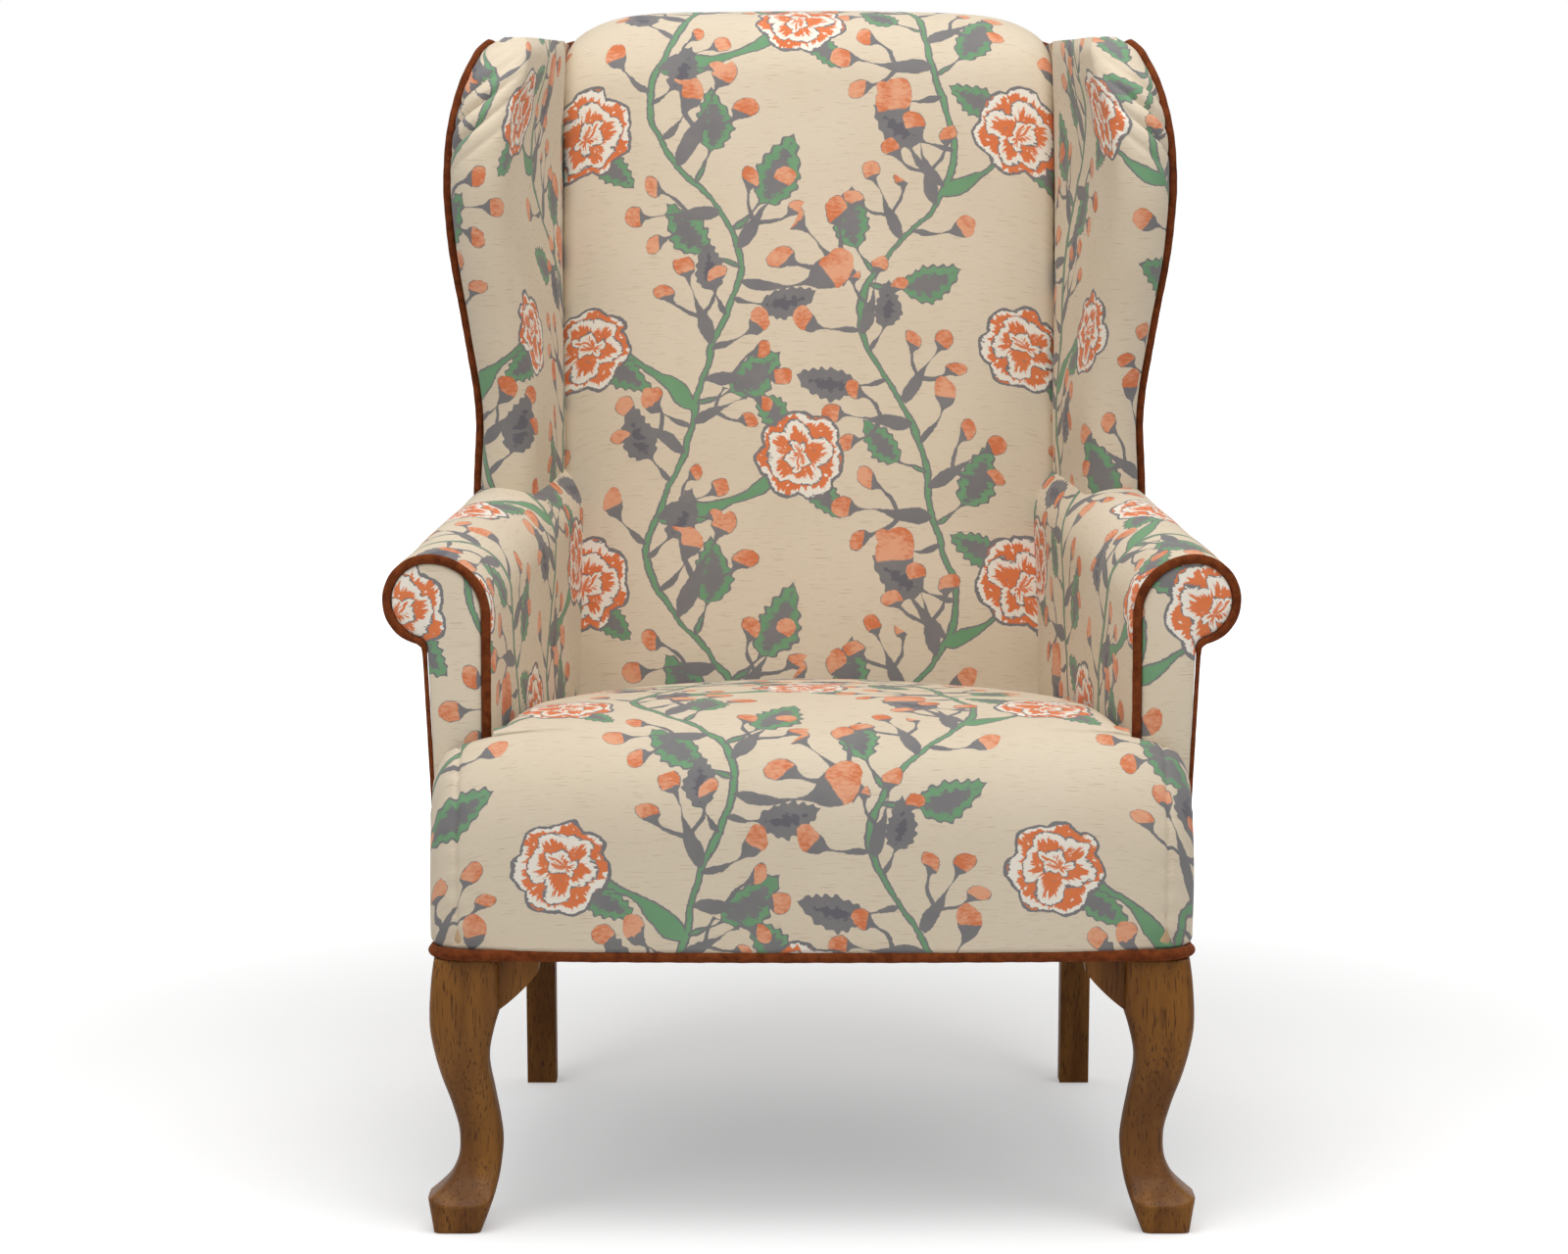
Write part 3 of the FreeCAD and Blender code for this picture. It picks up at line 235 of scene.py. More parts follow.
def skin(name, grid, cloth=None):
    """A closed mesh over a grid of points, rows by columns. The columns join round, and the first and last
    rows close on their middle point. cloth is the flat place of each grid point, one column more."""
    rows, columns = grid.shape[:2]
    number = np.arange(rows * columns).reshape(rows, columns)
    after = np.roll(number, -1, axis=1)
    quads = np.stack([number[:-1], after[:-1], after[1:], number[1:]], -1).reshape(-1, 4)
    points = np.concatenate([grid.reshape(-1, 3), grid[:1].mean(1), grid[-1:].mean(1)])
    first, last = rows * columns, rows * columns + 1
    low = np.stack([np.full(columns, first), after[0], number[0]], -1)
    high = np.stack([np.full(columns, last), number[-1], after[-1]], -1)
    a, b, c, e = (points[quads[:, i]] for i in range(4))
    volume = (a * np.cross(b, c)).sum() + (a * np.cross(c, e)).sum()
    for cap in (low, high):
        a, b, c = (points[cap[:, i]] for i in range(3))
        volume += (a * np.cross(b, c)).sum()
    turned = volume < 0
    mesh = bpy.data.meshes.new(name)
    faces = [part[:, ::-1] if turned else part for part in (quads, low, high)]
    mesh.from_pydata(points.tolist(), [], [f for part in faces for f in part.tolist()])
    if cloth is not None:
        a, b, c, e = cloth[:-1, :-1], cloth[:-1, 1:], cloth[1:, 1:], cloth[1:, :-1]
        flat = np.stack([a, b, c, e], 2).reshape(-1, 4, 2)
        ends = []
        for row, order in ((0, (1, 0)), (-1, (0, 1))):
            edge = np.stack([cloth[row, :-1], cloth[row, 1:]], 1)
            middle = np.broadcast_to(cloth[row].mean(0), edge[:, 0].shape)
            ends.append(np.stack([middle, edge[:, order[0]], edge[:, order[1]]], 1))
        flats = [part[:, ::-1] if turned else part for part in (flat, *ends)]
        layer = mesh.uv_layers.new(name="cloth")
        layer.data.foreach_set("uv", np.concatenate([f.reshape(-1) for f in flats]))
    mesh.shade_smooth()
    made = bpy.data.objects.new(name, mesh)
    bpy.context.collection.objects.link(made)
    return made


def finish_piece(piece, paint, slot, *replaced):
    """Gives a piece its material and its body, and hides the CAD nodes that it stands for. The slot is not
    used.
    """
    piece.data.materials.append(paint)
    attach(piece, "root")
    if replaced:
        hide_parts(*replaced)
    return piece


def dress(name, paint):
    """Gives a CAD node that stays in view its material."""
    nodes[name].data.materials.clear()
    nodes[name].data.materials.append(paint)


stained, bench, shader = material("stained hardwood")
place = bench.node("TexCoord", None, 3)
along = bench.stretch(place, (34.0, 34.0, 3.2))
figure = bench.noise(along, 1.0, 5.0, 0.6)
pores = bench.noise(bench.stretch(place, (620.0, 620.0, 40.0)), 1.0, 2.0, 0.5)
pore = pores.step(0.56, 0.68)
tone = bench.noise(place, 9.0, 2.0)
colour = bench.mix(figure.step(0.36, 0.64), (0.225, 0.090, 0.015), (0.115, 0.040, 0.007))
colour = bench.mix(tone.step(0.35, 0.75) * 0.35, colour, (0.235, 0.100, 0.024))
colour = bench.mix(pore * 0.72, colour, (0.035, 0.013, 0.004))
bench.finish(shader, colour, 0.36 + figure * 0.10 + pore * 0.15, figure * 0.3 - pore * 0.5, 0.18, 0.0006)
shader.inputs["Specular IOR Level"].default_value = 0.16
shader.inputs["Coat Weight"].default_value = 0.04
shader.inputs["Coat Roughness"].default_value = 0.25

toe_z, corner_set = 0.031, 0.044
leg_z = np.concatenate([np.linspace(0, 0.0295, 9), np.linspace(toe_z, 0.060, 22),
                        np.linspace(0.063, 0.250, 74)])
leg_inner = ease(leg_z, [0, 0.018, 0.036, 0.058, 0.079, 0.100, 0.124, 0.160, 0.185, 0.203, 0.227, 0.250],
                 [0.2985, 0.2915, 0.2855, 0.2815, 0.2800, 0.2822, 0.2862, 0.2910, 0.2862, 0.2810, 0.2810,
                  0.2810])
leg_outer = np.where(
    leg_z < 0.0305,
    np.interp(leg_z, [0, toe_z], [0.3415, 0.3465]),
    ease(leg_z, [toe_z, 0.038, 0.046, 0.058, 0.084, 0.112, 0.142, 0.166, 0.186, 0.203, 0.220, 0.236, 0.250],
         [0.3465, 0.3375, 0.3290, 0.3222, 0.3192, 0.3252, 0.3347, 0.3405, 0.3437, 0.3440, 0.3430, 0.3415,
          0.3395]))
leg_power = ease(leg_z, [0, 0.03, 0.06, 0.09, 0.15, 0.20, 0.25], [5.6, 5.2, 3.8, 3.2, 3.8, 5.5, 8.0])
turn = np.linspace(0, 2 * math.pi, 72, endpoint=False)
for name, side in SIDES:
    power = (2 / leg_power)[:, None]
    across = np.sign(np.cos(turn)) * np.abs(np.cos(turn)) ** power
    deep = np.sign(np.sin(turn)) * np.abs(np.sin(turn)) ** power
    half = ((leg_outer - leg_inner) / 2)[:, None]
    middle = ((leg_outer + leg_inner) / 2)[:, None]
    x = side * (middle + half * across)
    y = -(middle + corner_set) + half * deep
    dip = 0.006 * np.exp(-((leg_z - toe_z) / 0.008) ** 2)[:, None] * np.cos(turn + math.pi / 2) ** 6
    z = leg_z[:, None] - dip
    z[0] = 0
    leg = skin(name + "_cabriole_leg", np.stack([x, y, np.broadcast_to(z, x.shape)], -1))
    finish_piece(leg, stained, "stained_wood", name + "_front_leg")
    for block in ("_front_knee_block", "_side_knee_block", "_back_post"):
        dress(name + block, stained)


# Inner frame: planed beech rails, posts and blocks, glued and dowelled, with hanger bolts into the legs.
# The upholstery hides nearly all of it.
plain, bench, shader = material("planed beech")
place = bench.node("TexCoord", None, 3)
grain = bench.noise(bench.stretch(place, (60.0, 60.0, 12.0)), 1.0, 4.0, 0.6)
fine = bench.noise(bench.stretch(place, (500.0, 500.0, 60.0)), 1.0, 2.0)
colour = bench.mix(grain.step(0.3, 0.7), (0.62, 0.43, 0.25), (0.50, 0.33, 0.18))
colour = bench.mix(fine.step(0.6, 0.7) * 0.4, colour, (0.36, 0.22, 0.11))
bench.finish(shader, colour, 0.55 + grain * 0.15, grain, 0.2, 0.0005)

steel, bench, shader = material("zinc plated steel")
place = bench.node("TexCoord", None, 3)
spots = bench.noise(place, 300.0, 3.0)
shader.inputs["Metallic"].default_value = 1.0
bench.feed(shader.inputs["Base Color"], bench.mix(spots, (0.50, 0.50, 0.52), (0.62, 0.61, 0.58)))
bench.feed(shader.inputs["Roughness"], 0.30 + spots * 0.2)

for name in nodes:
    if any(word in name for word in ("rail", "corner_block", "arm_post", "wing_post")):
        dress(name, plain)
    if name.endswith("leg_bolt"):
        dress(name, steel)


# Webbing, hessian and the dust cover: woven jute straps tacked over the rails, coarse hessian on them,
# and black cambric tacked under the seat frame.
def parts_of(place):
    """The x and y of a place."""
    first = place.bench.node("SeparateXYZ", None, 0, Vector=place)
    return first, Thread(place.bench, first.socket.node.outputs[1])


def weave(name, light, dark, pitch, wide):
    """A plain woven cloth: two crossing sets of threads of a pitch, on Object coordinates."""
    made, bench, shader = material(name)
    place = bench.node("TexCoord", None, 3)
    wobble = bench.noise(place, 40.0, 2.0)
    warp, weft = parts_of(place)
    one, two = (way * (2 * math.pi / pitch) + wobble * 2.0 for way in (warp, weft))
    lift = one.maths("SINE") * two.maths("SINE") * 0.5 + 0.5
    slub = bench.noise(bench.stretch(place, (wide, 1400.0, 1400.0)), 1.0, 2.0)
    bench.finish(shader, bench.mix((lift * 0.6 + slub * 0.4).step(0.2, 0.8), dark, light), 0.8 + slub * 0.15,
                 lift, 0.5, 0.0006)
    return made


jute = weave("jute webbing", (0.40, 0.29, 0.17), (0.20, 0.13, 0.07), 0.003, 60.0)
sacking = weave("hessian", (0.46, 0.34, 0.20), (0.16, 0.11, 0.06), 0.0024, 60.0)
cambric = weave("black cambric", (0.030, 0.030, 0.032), (0.010, 0.010, 0.011), 0.0012, 90.0)
for name in ("seat_webbing_lengthwise", "seat_webbing_crosswise", "back_webbing"):
    dress(name, jute)


def tacked(name, outline, level, thick, sag):
    """A sheet tacked flat over the rails round its edge: y and half width from its outline, and a sag that
    is the product of two parabolas between the rails."""
    y, half = (np.array(values)[:, None] for values in zip(*outline))
    u = np.linspace(-1, 1, 41)[None, :]
    x = half * u
    hollow = np.clip(1 - (x / 0.262) ** 2, 0, 1) * np.clip(1 - ((y + 0.078) / 0.278) ** 2, 0, 1)
    z = level - sag * hollow
    low, high = (np.stack(np.broadcast_arrays(x, y, z + rise), -1) for rise in (0, thick))
    return skin(name, np.concatenate([low, high[:, ::-1]], 1))


outline = [(y, 0.301 - (y + 0.366) * 0.0683) for y in np.linspace(-0.366, 0.219, 40)]
hessian = tacked("seat_hessian_sheet", outline, 0.3389, 0.0008, 0.0)
finish_piece(hessian, sacking, "hessian", "seat_hessian")
between_legs, behind_legs = 0.240, 0.297
outline = [(-0.378, between_legs), (-0.350, between_legs), (-0.3205, between_legs), (-0.320, behind_legs),
           (-0.300, behind_legs), (-0.2835, behind_legs),
           *((y, 0.3215 - (y + 0.283) * 0.0677) for y in np.linspace(-0.283, 0.203, 34))]
cover = tacked("dust_cover_sheet", outline, 0.2490, 0.0007, 0.006)
finish_piece(cover, cambric, "lining_cloth", "dust_cover")


# The print: roses, buds, berries and leaves on two trailing stems, block printed in brushy strokes on
# slubbed linen. It repeats every 440 by 460 mm, and each piece is cut so that its stems run upward.
REPEAT_WIDE, REPEAT_HIGH = 0.44, 0.46
linen, bench, shader = material("printed linen")
flat = bench.node("UVMap", {"uv_map": "cloth"})


def shift(place, scale, amount, detail=2.0):
    """The place moved a little by coloured noise, which makes edges look brushed."""
    cloud = bench.noise(place, scale, detail, 0.6, 1)
    cloud = bench.vector("MULTIPLY", bench.vector("SUBTRACT", cloud, (0.5, 0.5, 0.5)), (amount, amount, 0.0))
    return bench.vector("ADD", place, cloud)


drawn = shift(shift(flat, 26.0, 0.010, 1.0), 150.0, 0.0034, 3.0)
brush = bench.noise(bench.stretch(drawn, (150.0, 340.0, 1.0), (0, 0, 0.7)), 1.0, 3.0, 0.7)
wash = bench.noise(flat, 30.0, 2.0, 0.5)


def seen_from(centre, turn, size, lift=0.0):
    """The nearest repeat of a motif's own plane: x runs along the motif and y across it, in its length."""
    x, y = centre
    near = bench.vector("WRAP", drawn, (x + REPEAT_WIDE / 2, y + REPEAT_HIGH / 2, 1.0),
                        (x - REPEAT_WIDE / 2, y - REPEAT_HIGH / 2, -1.0))
    x, y = x + math.sin(turn) * lift * size, y - math.cos(turn) * lift * size
    return bench.node("Mapping", {"vector_type": "TEXTURE"}, 0, Vector=near, Location=(x, y, 0.0),
                      Rotation=(0.0, 0.0, turn), Scale=(size, size, size))


def curve(value, points):
    """A drawn curve through points, read at a value."""
    return bench.node("FloatCurve", {"curve": points}, 0, Value=value)


def strand(x, y, course, girth):
    """Depth inside a shape that follows a course and has a girth along it, both drawn as curves."""
    off = y - curve(x, course) if course else y
    return curve(x, girth) - abs(off)


def sway(side, amount):
    """A course that bows to one side between its ends."""
    return [(i / 6, 0.5 - side * amount * math.sin(math.pi * i / 6)) for i in range(7)]


def stem_line(index, v):
    """Where a trailing stem stands at a height of the repeat, as a share of the repeat's width."""
    turn = 2 * math.pi * v / REPEAT_HIGH
    if index == 0:
        return (0.105 + 0.042 * math.sin(turn) + 0.014 * math.sin(2 * turn + 0.6)) / REPEAT_WIDE
    return (0.325 + 0.040 * math.sin(turn + 2.6) + 0.013 * math.sin(2 * turn + 2.0)) / REPEAT_WIDE


def off_stem(index, v, side, lean):
    """The place on a stem where a sprig leaves it, and the sprig's direction."""
    ahead = (stem_line(index, v + 0.002) - stem_line(index, v - 0.002)) * REPEAT_WIDE
    return (stem_line(index, v) * REPEAT_WIDE, v), math.atan2(0.004, ahead) - side * math.radians(lean)


across, upward = parts_of(drawn)
height_share = (upward / REPEAT_HIGH).maths("FRACT")
stems = None
for index in (0, 1):
    course = curve(height_share, [(i / 24, stem_line(index, i / 24 * REPEAT_HIGH)) for i in range(25)])
    off = across / REPEAT_WIDE - course
    off = abs(off - off.maths("ROUND")) * REPEAT_WIDE
    depth = 0.0042 + (wash - 0.5) * 0.004 - off
    stems = stems.most(depth) if stems else depth

BLADE = [
    (0, -0.01), (0.02, 0.022), (0.30, 0.018), (0.34, 0.034), (0.40, 0.130), (0.43, 0.126), (0.49, 0.180),
    (0.52, 0.168), (0.59, 0.204), (0.62, 0.172), (0.69, 0.184), (0.72, 0.142), (0.79, 0.142),
    (0.82, 0.096), (0.89, 0.088), (0.91, 0.048), (1.0, -0.01),
]
STALK = [
    (0, -0.01), (0.02, 0.045), (0.5, 0.032), (0.97, 0.026), (1, -0.01),
]
BUD = [
    (0, -0.01), (0.02, 0.026), (0.50, 0.022), (0.58, 0.050), (0.66, 0.120), (0.74, 0.150), (0.86, 0.168),
    (0.94, 0.120), (1, -0.01),
]
LEAVES = [
    (0, 0.150, 1, 0.104, 48, 0), (1, 0.195, -1, 0.094, 52, 1), (0, 0.395, 1, 0.102, 52, 0),
    (1, 0.415, -1, 0.104, 50, 0), (1, 0.275, 1, 0.104, 46, 0), (1, 0.380, 1, 0.090, 62, 1),
    (1, 0.040, 1, 0.106, 50, 0), (0, 0.300, -1, 0.096, 54, 1), (0, 0.405, -1, 0.100, 46, 0),
    (0, 0.075, -1, 0.098, 58, 1), (0, 0.205, -1, 0.088, 40, 0), (1, 0.120, 1, 0.084, 36, 1),
    (1, 0.452, 1, 0.122, 58, 0), (0, 0.328, 1, 0.078, 40, 1), (1, 0.365, -1, 0.082, 34, 1),
]
BUDS = [
    (0, 0.235, 1, 0.074, 38), (1, 0.135, -1, 0.070, 44), (1, 0.330, 1, 0.070, 34),
    (1, 0.085, 1, 0.074, 58), (0, 0.130, -1, 0.068, 62), (0, 0.350, -1, 0.072, 60),
    (0, 0.450, 1, 0.066, 36), (1, 0.250, -1, 0.064, 62), (0, 0.036, -1, 0.128, 52),
    (1, 0.400, 1, 0.120, 66),
]
ROSES = [
    (0.214, 0.098, 0.051, 0.3), (0.216, 0.336, 0.047, 2.1), (0.432, 0.222, 0.049, 4.0),
]
UNDER_ROSES = [
    (0.214, 0.098, 2.6, 0.088), (0.216, 0.336, -0.6, 0.084), (0.432, 0.222, 2.2, 0.086),
    (0.214, 0.098, -0.9, 0.080), (0.432, 0.222, -1.0, 0.078),
]
BERRIES = [
    (0, 0.275, 1, 0.088, 62), (1, 0.335, -1, 0.096, 42), (1, 0.010, -1, 0.098, 56),
    (1, 0.435, 1, 0.098, 48), (1, 0.300, 1, 0.090, 74), (0, 0.020, -1, 0.098, 50),
    (0, 0.255, -1, 0.092, 60), (0, 0.440, -1, 0.090, 66), (0, 0.190, 1, 0.092, 66),
    (1, 0.225, -1, 0.088, 70), (0, 0.345, 1, 0.084, 30), (1, 0.160, 1, 0.080, 44),
    (0, 0.385, -1, 0.124, 60), (1, 0.060, 1, 0.120, 66), (0, 0.160, -1, 0.104, 70),
    (1, 0.255, 1, 0.076, 52),
]

green, grey, buds = None, None, None
for index, v, side, size, lean, is_grey in LEAVES:
    centre, turn = off_stem(index, v, side, lean)
    x, y = parts_of(seen_from(centre, turn, size, 0.5))
    depth = strand(x, y, sway(side, 0.10), BLADE)
    if is_grey:
        grey = grey.most(depth) if grey else depth
    else:
        green = green.most(depth) if green else depth
for u, v, turn, size in UNDER_ROSES:
    x, y = parts_of(seen_from((u, v), turn, size, 0.5))
    green = green.most(strand(x, y, sway(1, 0.04), BLADE))
for index, v, side, size, lean in BUDS:
    centre, turn = off_stem(index, v, side, lean)
    x, y = parts_of(seen_from(centre, turn, size, 0.5))
    depth = strand(x, y, sway(side, 0.12), BUD)
    grey = grey.most(depth * 0.7)
    flower = depth.least((x - 0.69 - abs(y - 0.5) * 0.35) * 0.6)
    buds = buds.most(flower) if buds else flower
for u, v, index, start in ((0.214, 0.098, 0, 0.030), (0.216, 0.336, 1, 0.270), (0.432, 0.222, 1, 0.160)):
    first, _ = off_stem(index, start, 1, 0)
    turn = math.atan2(v - first[1], u - first[0])
    length = math.hypot(v - first[1], u - first[0])
    x, y = parts_of(seen_from(first, turn, length, 0.5))
    stems = stems.most(strand(x, y, sway(1, 0.09), STALK) * length)


def nearest(places):
    """The motif plane whose middle is nearest, so that one drawing serves all its places."""
    best = places[0]
    reach = bench.vector("LENGTH", best, output=1)
    for other in places[1:]:
        length = bench.vector("LENGTH", other, output=1)
        closer = length.maths("LESS_THAN", reach)
        best = bench.node("Mix", {"data_type": "VECTOR"}, 1, _0=closer, _4=best, _5=other)
        reach = reach.least(length)
    return best, reach


sprays = []
for index, v, side, size, lean in BERRIES:
    centre, turn = off_stem(index, v, side, lean)
    middle = (centre[0] + size / 2 * math.cos(turn), centre[1] + size / 2 * math.sin(turn))
    sprays.append(seen_from(middle, turn, size))
spray, _ = nearest(sprays)
x, y = parts_of(spray)
x = x + 0.5
aside = abs(y)
long_berry = [(0, -0.01), (0.02, 0.034), (0.74, 0.028), (0.78, 0.055), (0.81, 0.090), (0.87, 0.112),
              (0.94, 0.104), (0.98, 0.070), (1, -0.01)]
short_berry = [(0, -0.01), (0.30, -0.01), (0.32, 0.030), (0.56, 0.028), (0.60, 0.052), (0.63, 0.088),
               (0.68, 0.112), (0.73, 0.104), (0.77, 0.068), (0.79, -0.01), (1, -0.01)]
fork = [(0, 0.0), (0.30, 0.0), (0.46, 0.17), (0.62, 0.27), (0.80, 0.33), (1, 0.36)]
middle = strand(x, y, None, long_berry)
twig = strand(x, aside, fork, short_berry)
sprays = middle.most(twig)
ripe = (x - 0.815).most((aside - 0.15).least(x - 0.64))

flower, reach = nearest([seen_from((u, v), turn, size) for u, v, size, turn in ROSES])
bent = bench.noise(flower, 1.7, 1.0, 0.5, 1)
bent = bench.vector("MULTIPLY_ADD", bent, (0.62, 0.62, 0.0), flower)
bent = bench.vector("SUBTRACT", bent, (0.36, 0.24, 0.0))
x, y = parts_of(bent)
angle = y.maths("ARCTAN2", x)
ring = bench.vector("LENGTH", bent, output=1) * 2.9
scallop = abs((angle * 2.5 + ring.maths("FLOOR") * 1.9).maths("SINE"))
rim = (ring + (1.0 - scallop) * 0.50 + (brush - 0.5) * 0.40).maths("FRACT")
round_ = bench.vector("MULTIPLY_ADD", bench.vector("NORMALIZE", flower), (3.4, 3.4, 3.4), flower)
streak = bench.noise(round_, 2.1, 3.0, 0.65)
outer_scallop = abs((angle * 3.5 + 0.7).maths("SINE"))
rose_depth = 0.84 + outer_scallop * 0.13 + (wash - 0.5) * 0.15 - reach

ink_grey = bench.mix(wash, (0.235, 0.222, 0.225), (0.150, 0.152, 0.162))
ink_green = bench.mix(wash, (0.120, 0.290, 0.150), (0.190, 0.370, 0.200))
ink_salmon = bench.mix((brush * 0.45 + wash * 0.55).step(0.42, 0.60),
                       (0.770, 0.370, 0.220), (0.660, 0.180, 0.068))
ink_orange = bench.mix(wash, (0.690, 0.150, 0.042), (0.780, 0.230, 0.085))
fibre = bench.noise(bench.stretch(flat, (70.0, 1500.0, 1.0)), 1.0, 2.0, 0.55)
slub = bench.noise(bench.stretch(flat, (42.0, 1100.0, 1.0)), 1.0, 2.0, 0.5)
tint = bench.noise(flat, 7.0, 2.0)
ground = bench.mix(tint.step(0.3, 0.7), (0.700, 0.600, 0.455), (0.730, 0.632, 0.492))
ground = bench.mix(fibre.step(0.35, 0.75) * 0.27, ground, (0.640, 0.510, 0.340))
ground = bench.mix(slub.step(0.62, 0.70) * 0.65, ground, (0.430, 0.300, 0.180))

colour = bench.mix(stems.step(0.0, 0.0007), ground, ink_grey)
colour = bench.mix((stems - brush * 0.0030).step(0.0004, 0.0010), colour, ink_green)
colour = bench.mix(green.step(0.002, 0.009), colour, ink_grey)
colour = bench.mix((green - brush * 0.045).step(0.000, 0.010), colour, ink_green)
colour = bench.mix((green + brush * 0.20).step(0.180, 0.205), colour, ink_grey)
colour = bench.mix(grey.step(0.002, 0.009), colour, ink_grey)
colour = bench.mix((grey - brush * 0.20).step(0.020, 0.030) * 0.8, colour, (0.105, 0.105, 0.130))
colour = bench.mix(sprays.step(0.001, 0.012), colour, ink_grey)
colour = bench.mix((sprays - brush * 0.02).least(ripe).step(0.0, 0.008), colour, ink_salmon)
colour = bench.mix(buds.step(0.004, 0.014), colour, ink_salmon)
rose = bench.mix((streak * 0.9 + (0.62 - rim) * 0.55 - reach * 0.10).step(0.44, 0.50),
                 (0.860, 0.800, 0.700), ink_orange)
rose = bench.mix((rim + brush * 0.25 - 0.16 * streak).step(0.93, 0.98), rose, ink_grey)
colour = bench.mix(rose_depth.step(0.0, 0.012), colour, ink_grey)
colour = bench.mix((rose_depth - brush * 0.13).step(0.0, 0.012), colour, rose)

threads = bench.noise(bench.stretch(flat, (260.0, 1900.0, 1.0)), 1.0, 2.0, 0.5)
cross = bench.noise(bench.stretch(flat, (1900.0, 260.0, 1.0)), 1.0, 2.0, 0.5)
lift = threads * 0.5 + cross * 0.35 + slub.step(0.60, 0.75) * 0.3
colour = bench.mix((cross - 0.5) * 0.12 + 0.06, colour, (0.33, 0.25, 0.17))
bench.finish(shader, colour, 0.80 + threads * 0.12, lift, 0.22, 0.0006)
shader.inputs["Specular IOR Level"].default_value = 0.22
shader.inputs["Sheen Weight"].default_value = 0.08


# Seat: a stuffed-over seat with a high crown, one piece of linen drawn from the back, over the front
# edge and down to the base. In front of the arms it widens to the full width, with a seam at each corner.
PAD_BASE, ARM_FRONT, ARM_INWARD = 0.3402, -0.312, 0.14


def outside_back(z):
    """Y of the chair's rear plane at a height: it leans back evenly from the top of the rear legs."""
    return 0.257 + (z - 0.250) * 0.16783


def inside_back(z):
    """Y of the inside back's base plane at a height."""
    return 0.094 + (z - PAD_BASE) * 0.20498


def bow(start, middle, end, count):
    """Parabola through three points for whole rows of points at once, passing the middle one half way."""
    t = np.linspace(0, 1, count)[None, :, None]
    start, middle, end = (np.asarray(p, float)[:, None, :] for p in (start, middle, end))
    control = 2 * middle - (start + end) / 2
    return start * (1 - t) ** 2 + 2 * control * t * (1 - t) + end * t**2


def line(start, end, count):
    """Straight run for whole rows of points at once."""
    t = np.linspace(0, 1, count)[None, :, None]
    return np.asarray(start, float)[:, None, :] * (1 - t) + np.asarray(end, float)[:, None, :] * t


def pair(first, second):
    """Rows of two values; single numbers are repeated."""
    return np.stack(np.broadcast_arrays(first, second), -1)


def ringed(x, *runs):
    """A grid with one closed section at each x, joined from runs of y and z. Each run's last point is the
    first of the next."""
    loop = np.concatenate([run[:, :-1] for run in runs], 1)
    return np.concatenate([np.broadcast_to(x[:, None, None], (*loop.shape[:2], 1)), loop], 2)


def closed(grid):
    """The grid with its first column again as the last."""
    return np.concatenate([grid, grid[:, :1]], 1)


def lengths(grid):
    """Length along each row of a closed grid, from its first column, with the closing step as the last."""
    steps = np.linalg.norm(np.diff(closed(grid), axis=1), axis=2)
    return np.concatenate([np.zeros((len(grid), 1)), np.cumsum(steps, 1)], 1)


def press(grid, amount):
    """Moves each point of a ring-shaped grid along its outward direction by an amount."""
    down = np.gradient(grid, axis=0)
    along = (np.roll(grid, -1, 1) - np.roll(grid, 1, 1)) / 2
    out = np.cross(down, along)
    out /= np.maximum(np.linalg.norm(out, axis=2, keepdims=True), 1e-9)
    middle = grid.mean(1, keepdims=True)
    if (out * (grid - middle)).sum() < 0:
        out = -out
    return grid + out * amount[..., None]


def bell(distance, width):
    """Smooth bump from 0 to 1 and back."""
    return np.exp(-((distance / width) ** 2))


def groove(distance, depth, width):
    """A seam pressed into the cloth: a narrow dip with a soft shoulder."""
    return -depth * bell(distance, width) - 0.35 * depth * bell(distance, 5 * width)


def ripple(a, b, scale, seed):
    """Slow uneven waves from -1 to 1 over two directions: a sum of four turned sines."""
    rng = np.random.default_rng(seed)
    total = 0
    for _ in range(4):
        angle, phase = rng.uniform(0, math.pi), rng.uniform(0, 2 * math.pi)
        pitch = scale * rng.uniform(0.6, 1.5)
        total = total + np.sin((a * math.cos(angle) + b * math.sin(angle)) * 2 * math.pi / pitch + phase)
    return total / 4


seat_half, seat_round, seam_x, seam_y, seat_base = 0.344, 0.020, 0.3185, -0.318, 0.3405
angles = np.radians(np.linspace(0, 86, 9))[1:]
half_run = np.concatenate([np.linspace(0, 0.216, 44), np.linspace(0.2185, seat_half - seat_round, 58),
                           seat_half - seat_round + seat_round * np.sin(angles)])
half_inset = np.concatenate([np.zeros(102), seat_round * (1 - np.cos(angles))])
x = np.concatenate([-half_run[:0:-1], half_run])
inset = np.concatenate([half_inset[:0:-1], half_inset])
s = np.clip(np.abs(x) / seat_half, 0, 1)
seat_top, seat_front, seat_hem = 0.466, -0.408, 0.2600
peak = seat_top - 0.030 * s**8 - 0.002 * s**2 - inset
front = seat_front + 0.010 * s**2 + 0.026 * s**9 + inset
low = seat_hem + inset * 0.3
arm_reach, ear_rear, back_y = 0.2886, -0.3212, 0.094
rear = (np.clip(ARM_FRONT + (arm_reach - np.abs(x)) / ARM_INWARD, ear_rear, back_y)
        - np.where(np.abs(x) > arm_reach, inset, 0))
y_start, y_slope, y_bend = 0.190, 0.822, 0.284
t_start = (y_slope - np.sqrt(y_slope**2 - 4 * y_bend * (y_start - rear))) / (2 * y_bend)
spread = (np.linspace(0, 1, 64) ** 1.35)[None, :]
t = t_start[:, None] + (1 - t_start[:, None]) * spread
top_y = y_start - y_slope * t + y_bend * t**2
top_y = np.maximum(top_y, front[:, None] + 0.060)
top_z = peak[:, None] - 0.034 * (1 - t) ** 2 + 0.046 * t * (1 - t) - 0.012 * t**2
top_z = top_z - 0.041 * s[:, None] ** 2 * np.clip((top_y + 0.32) / 0.414, 0, 1)
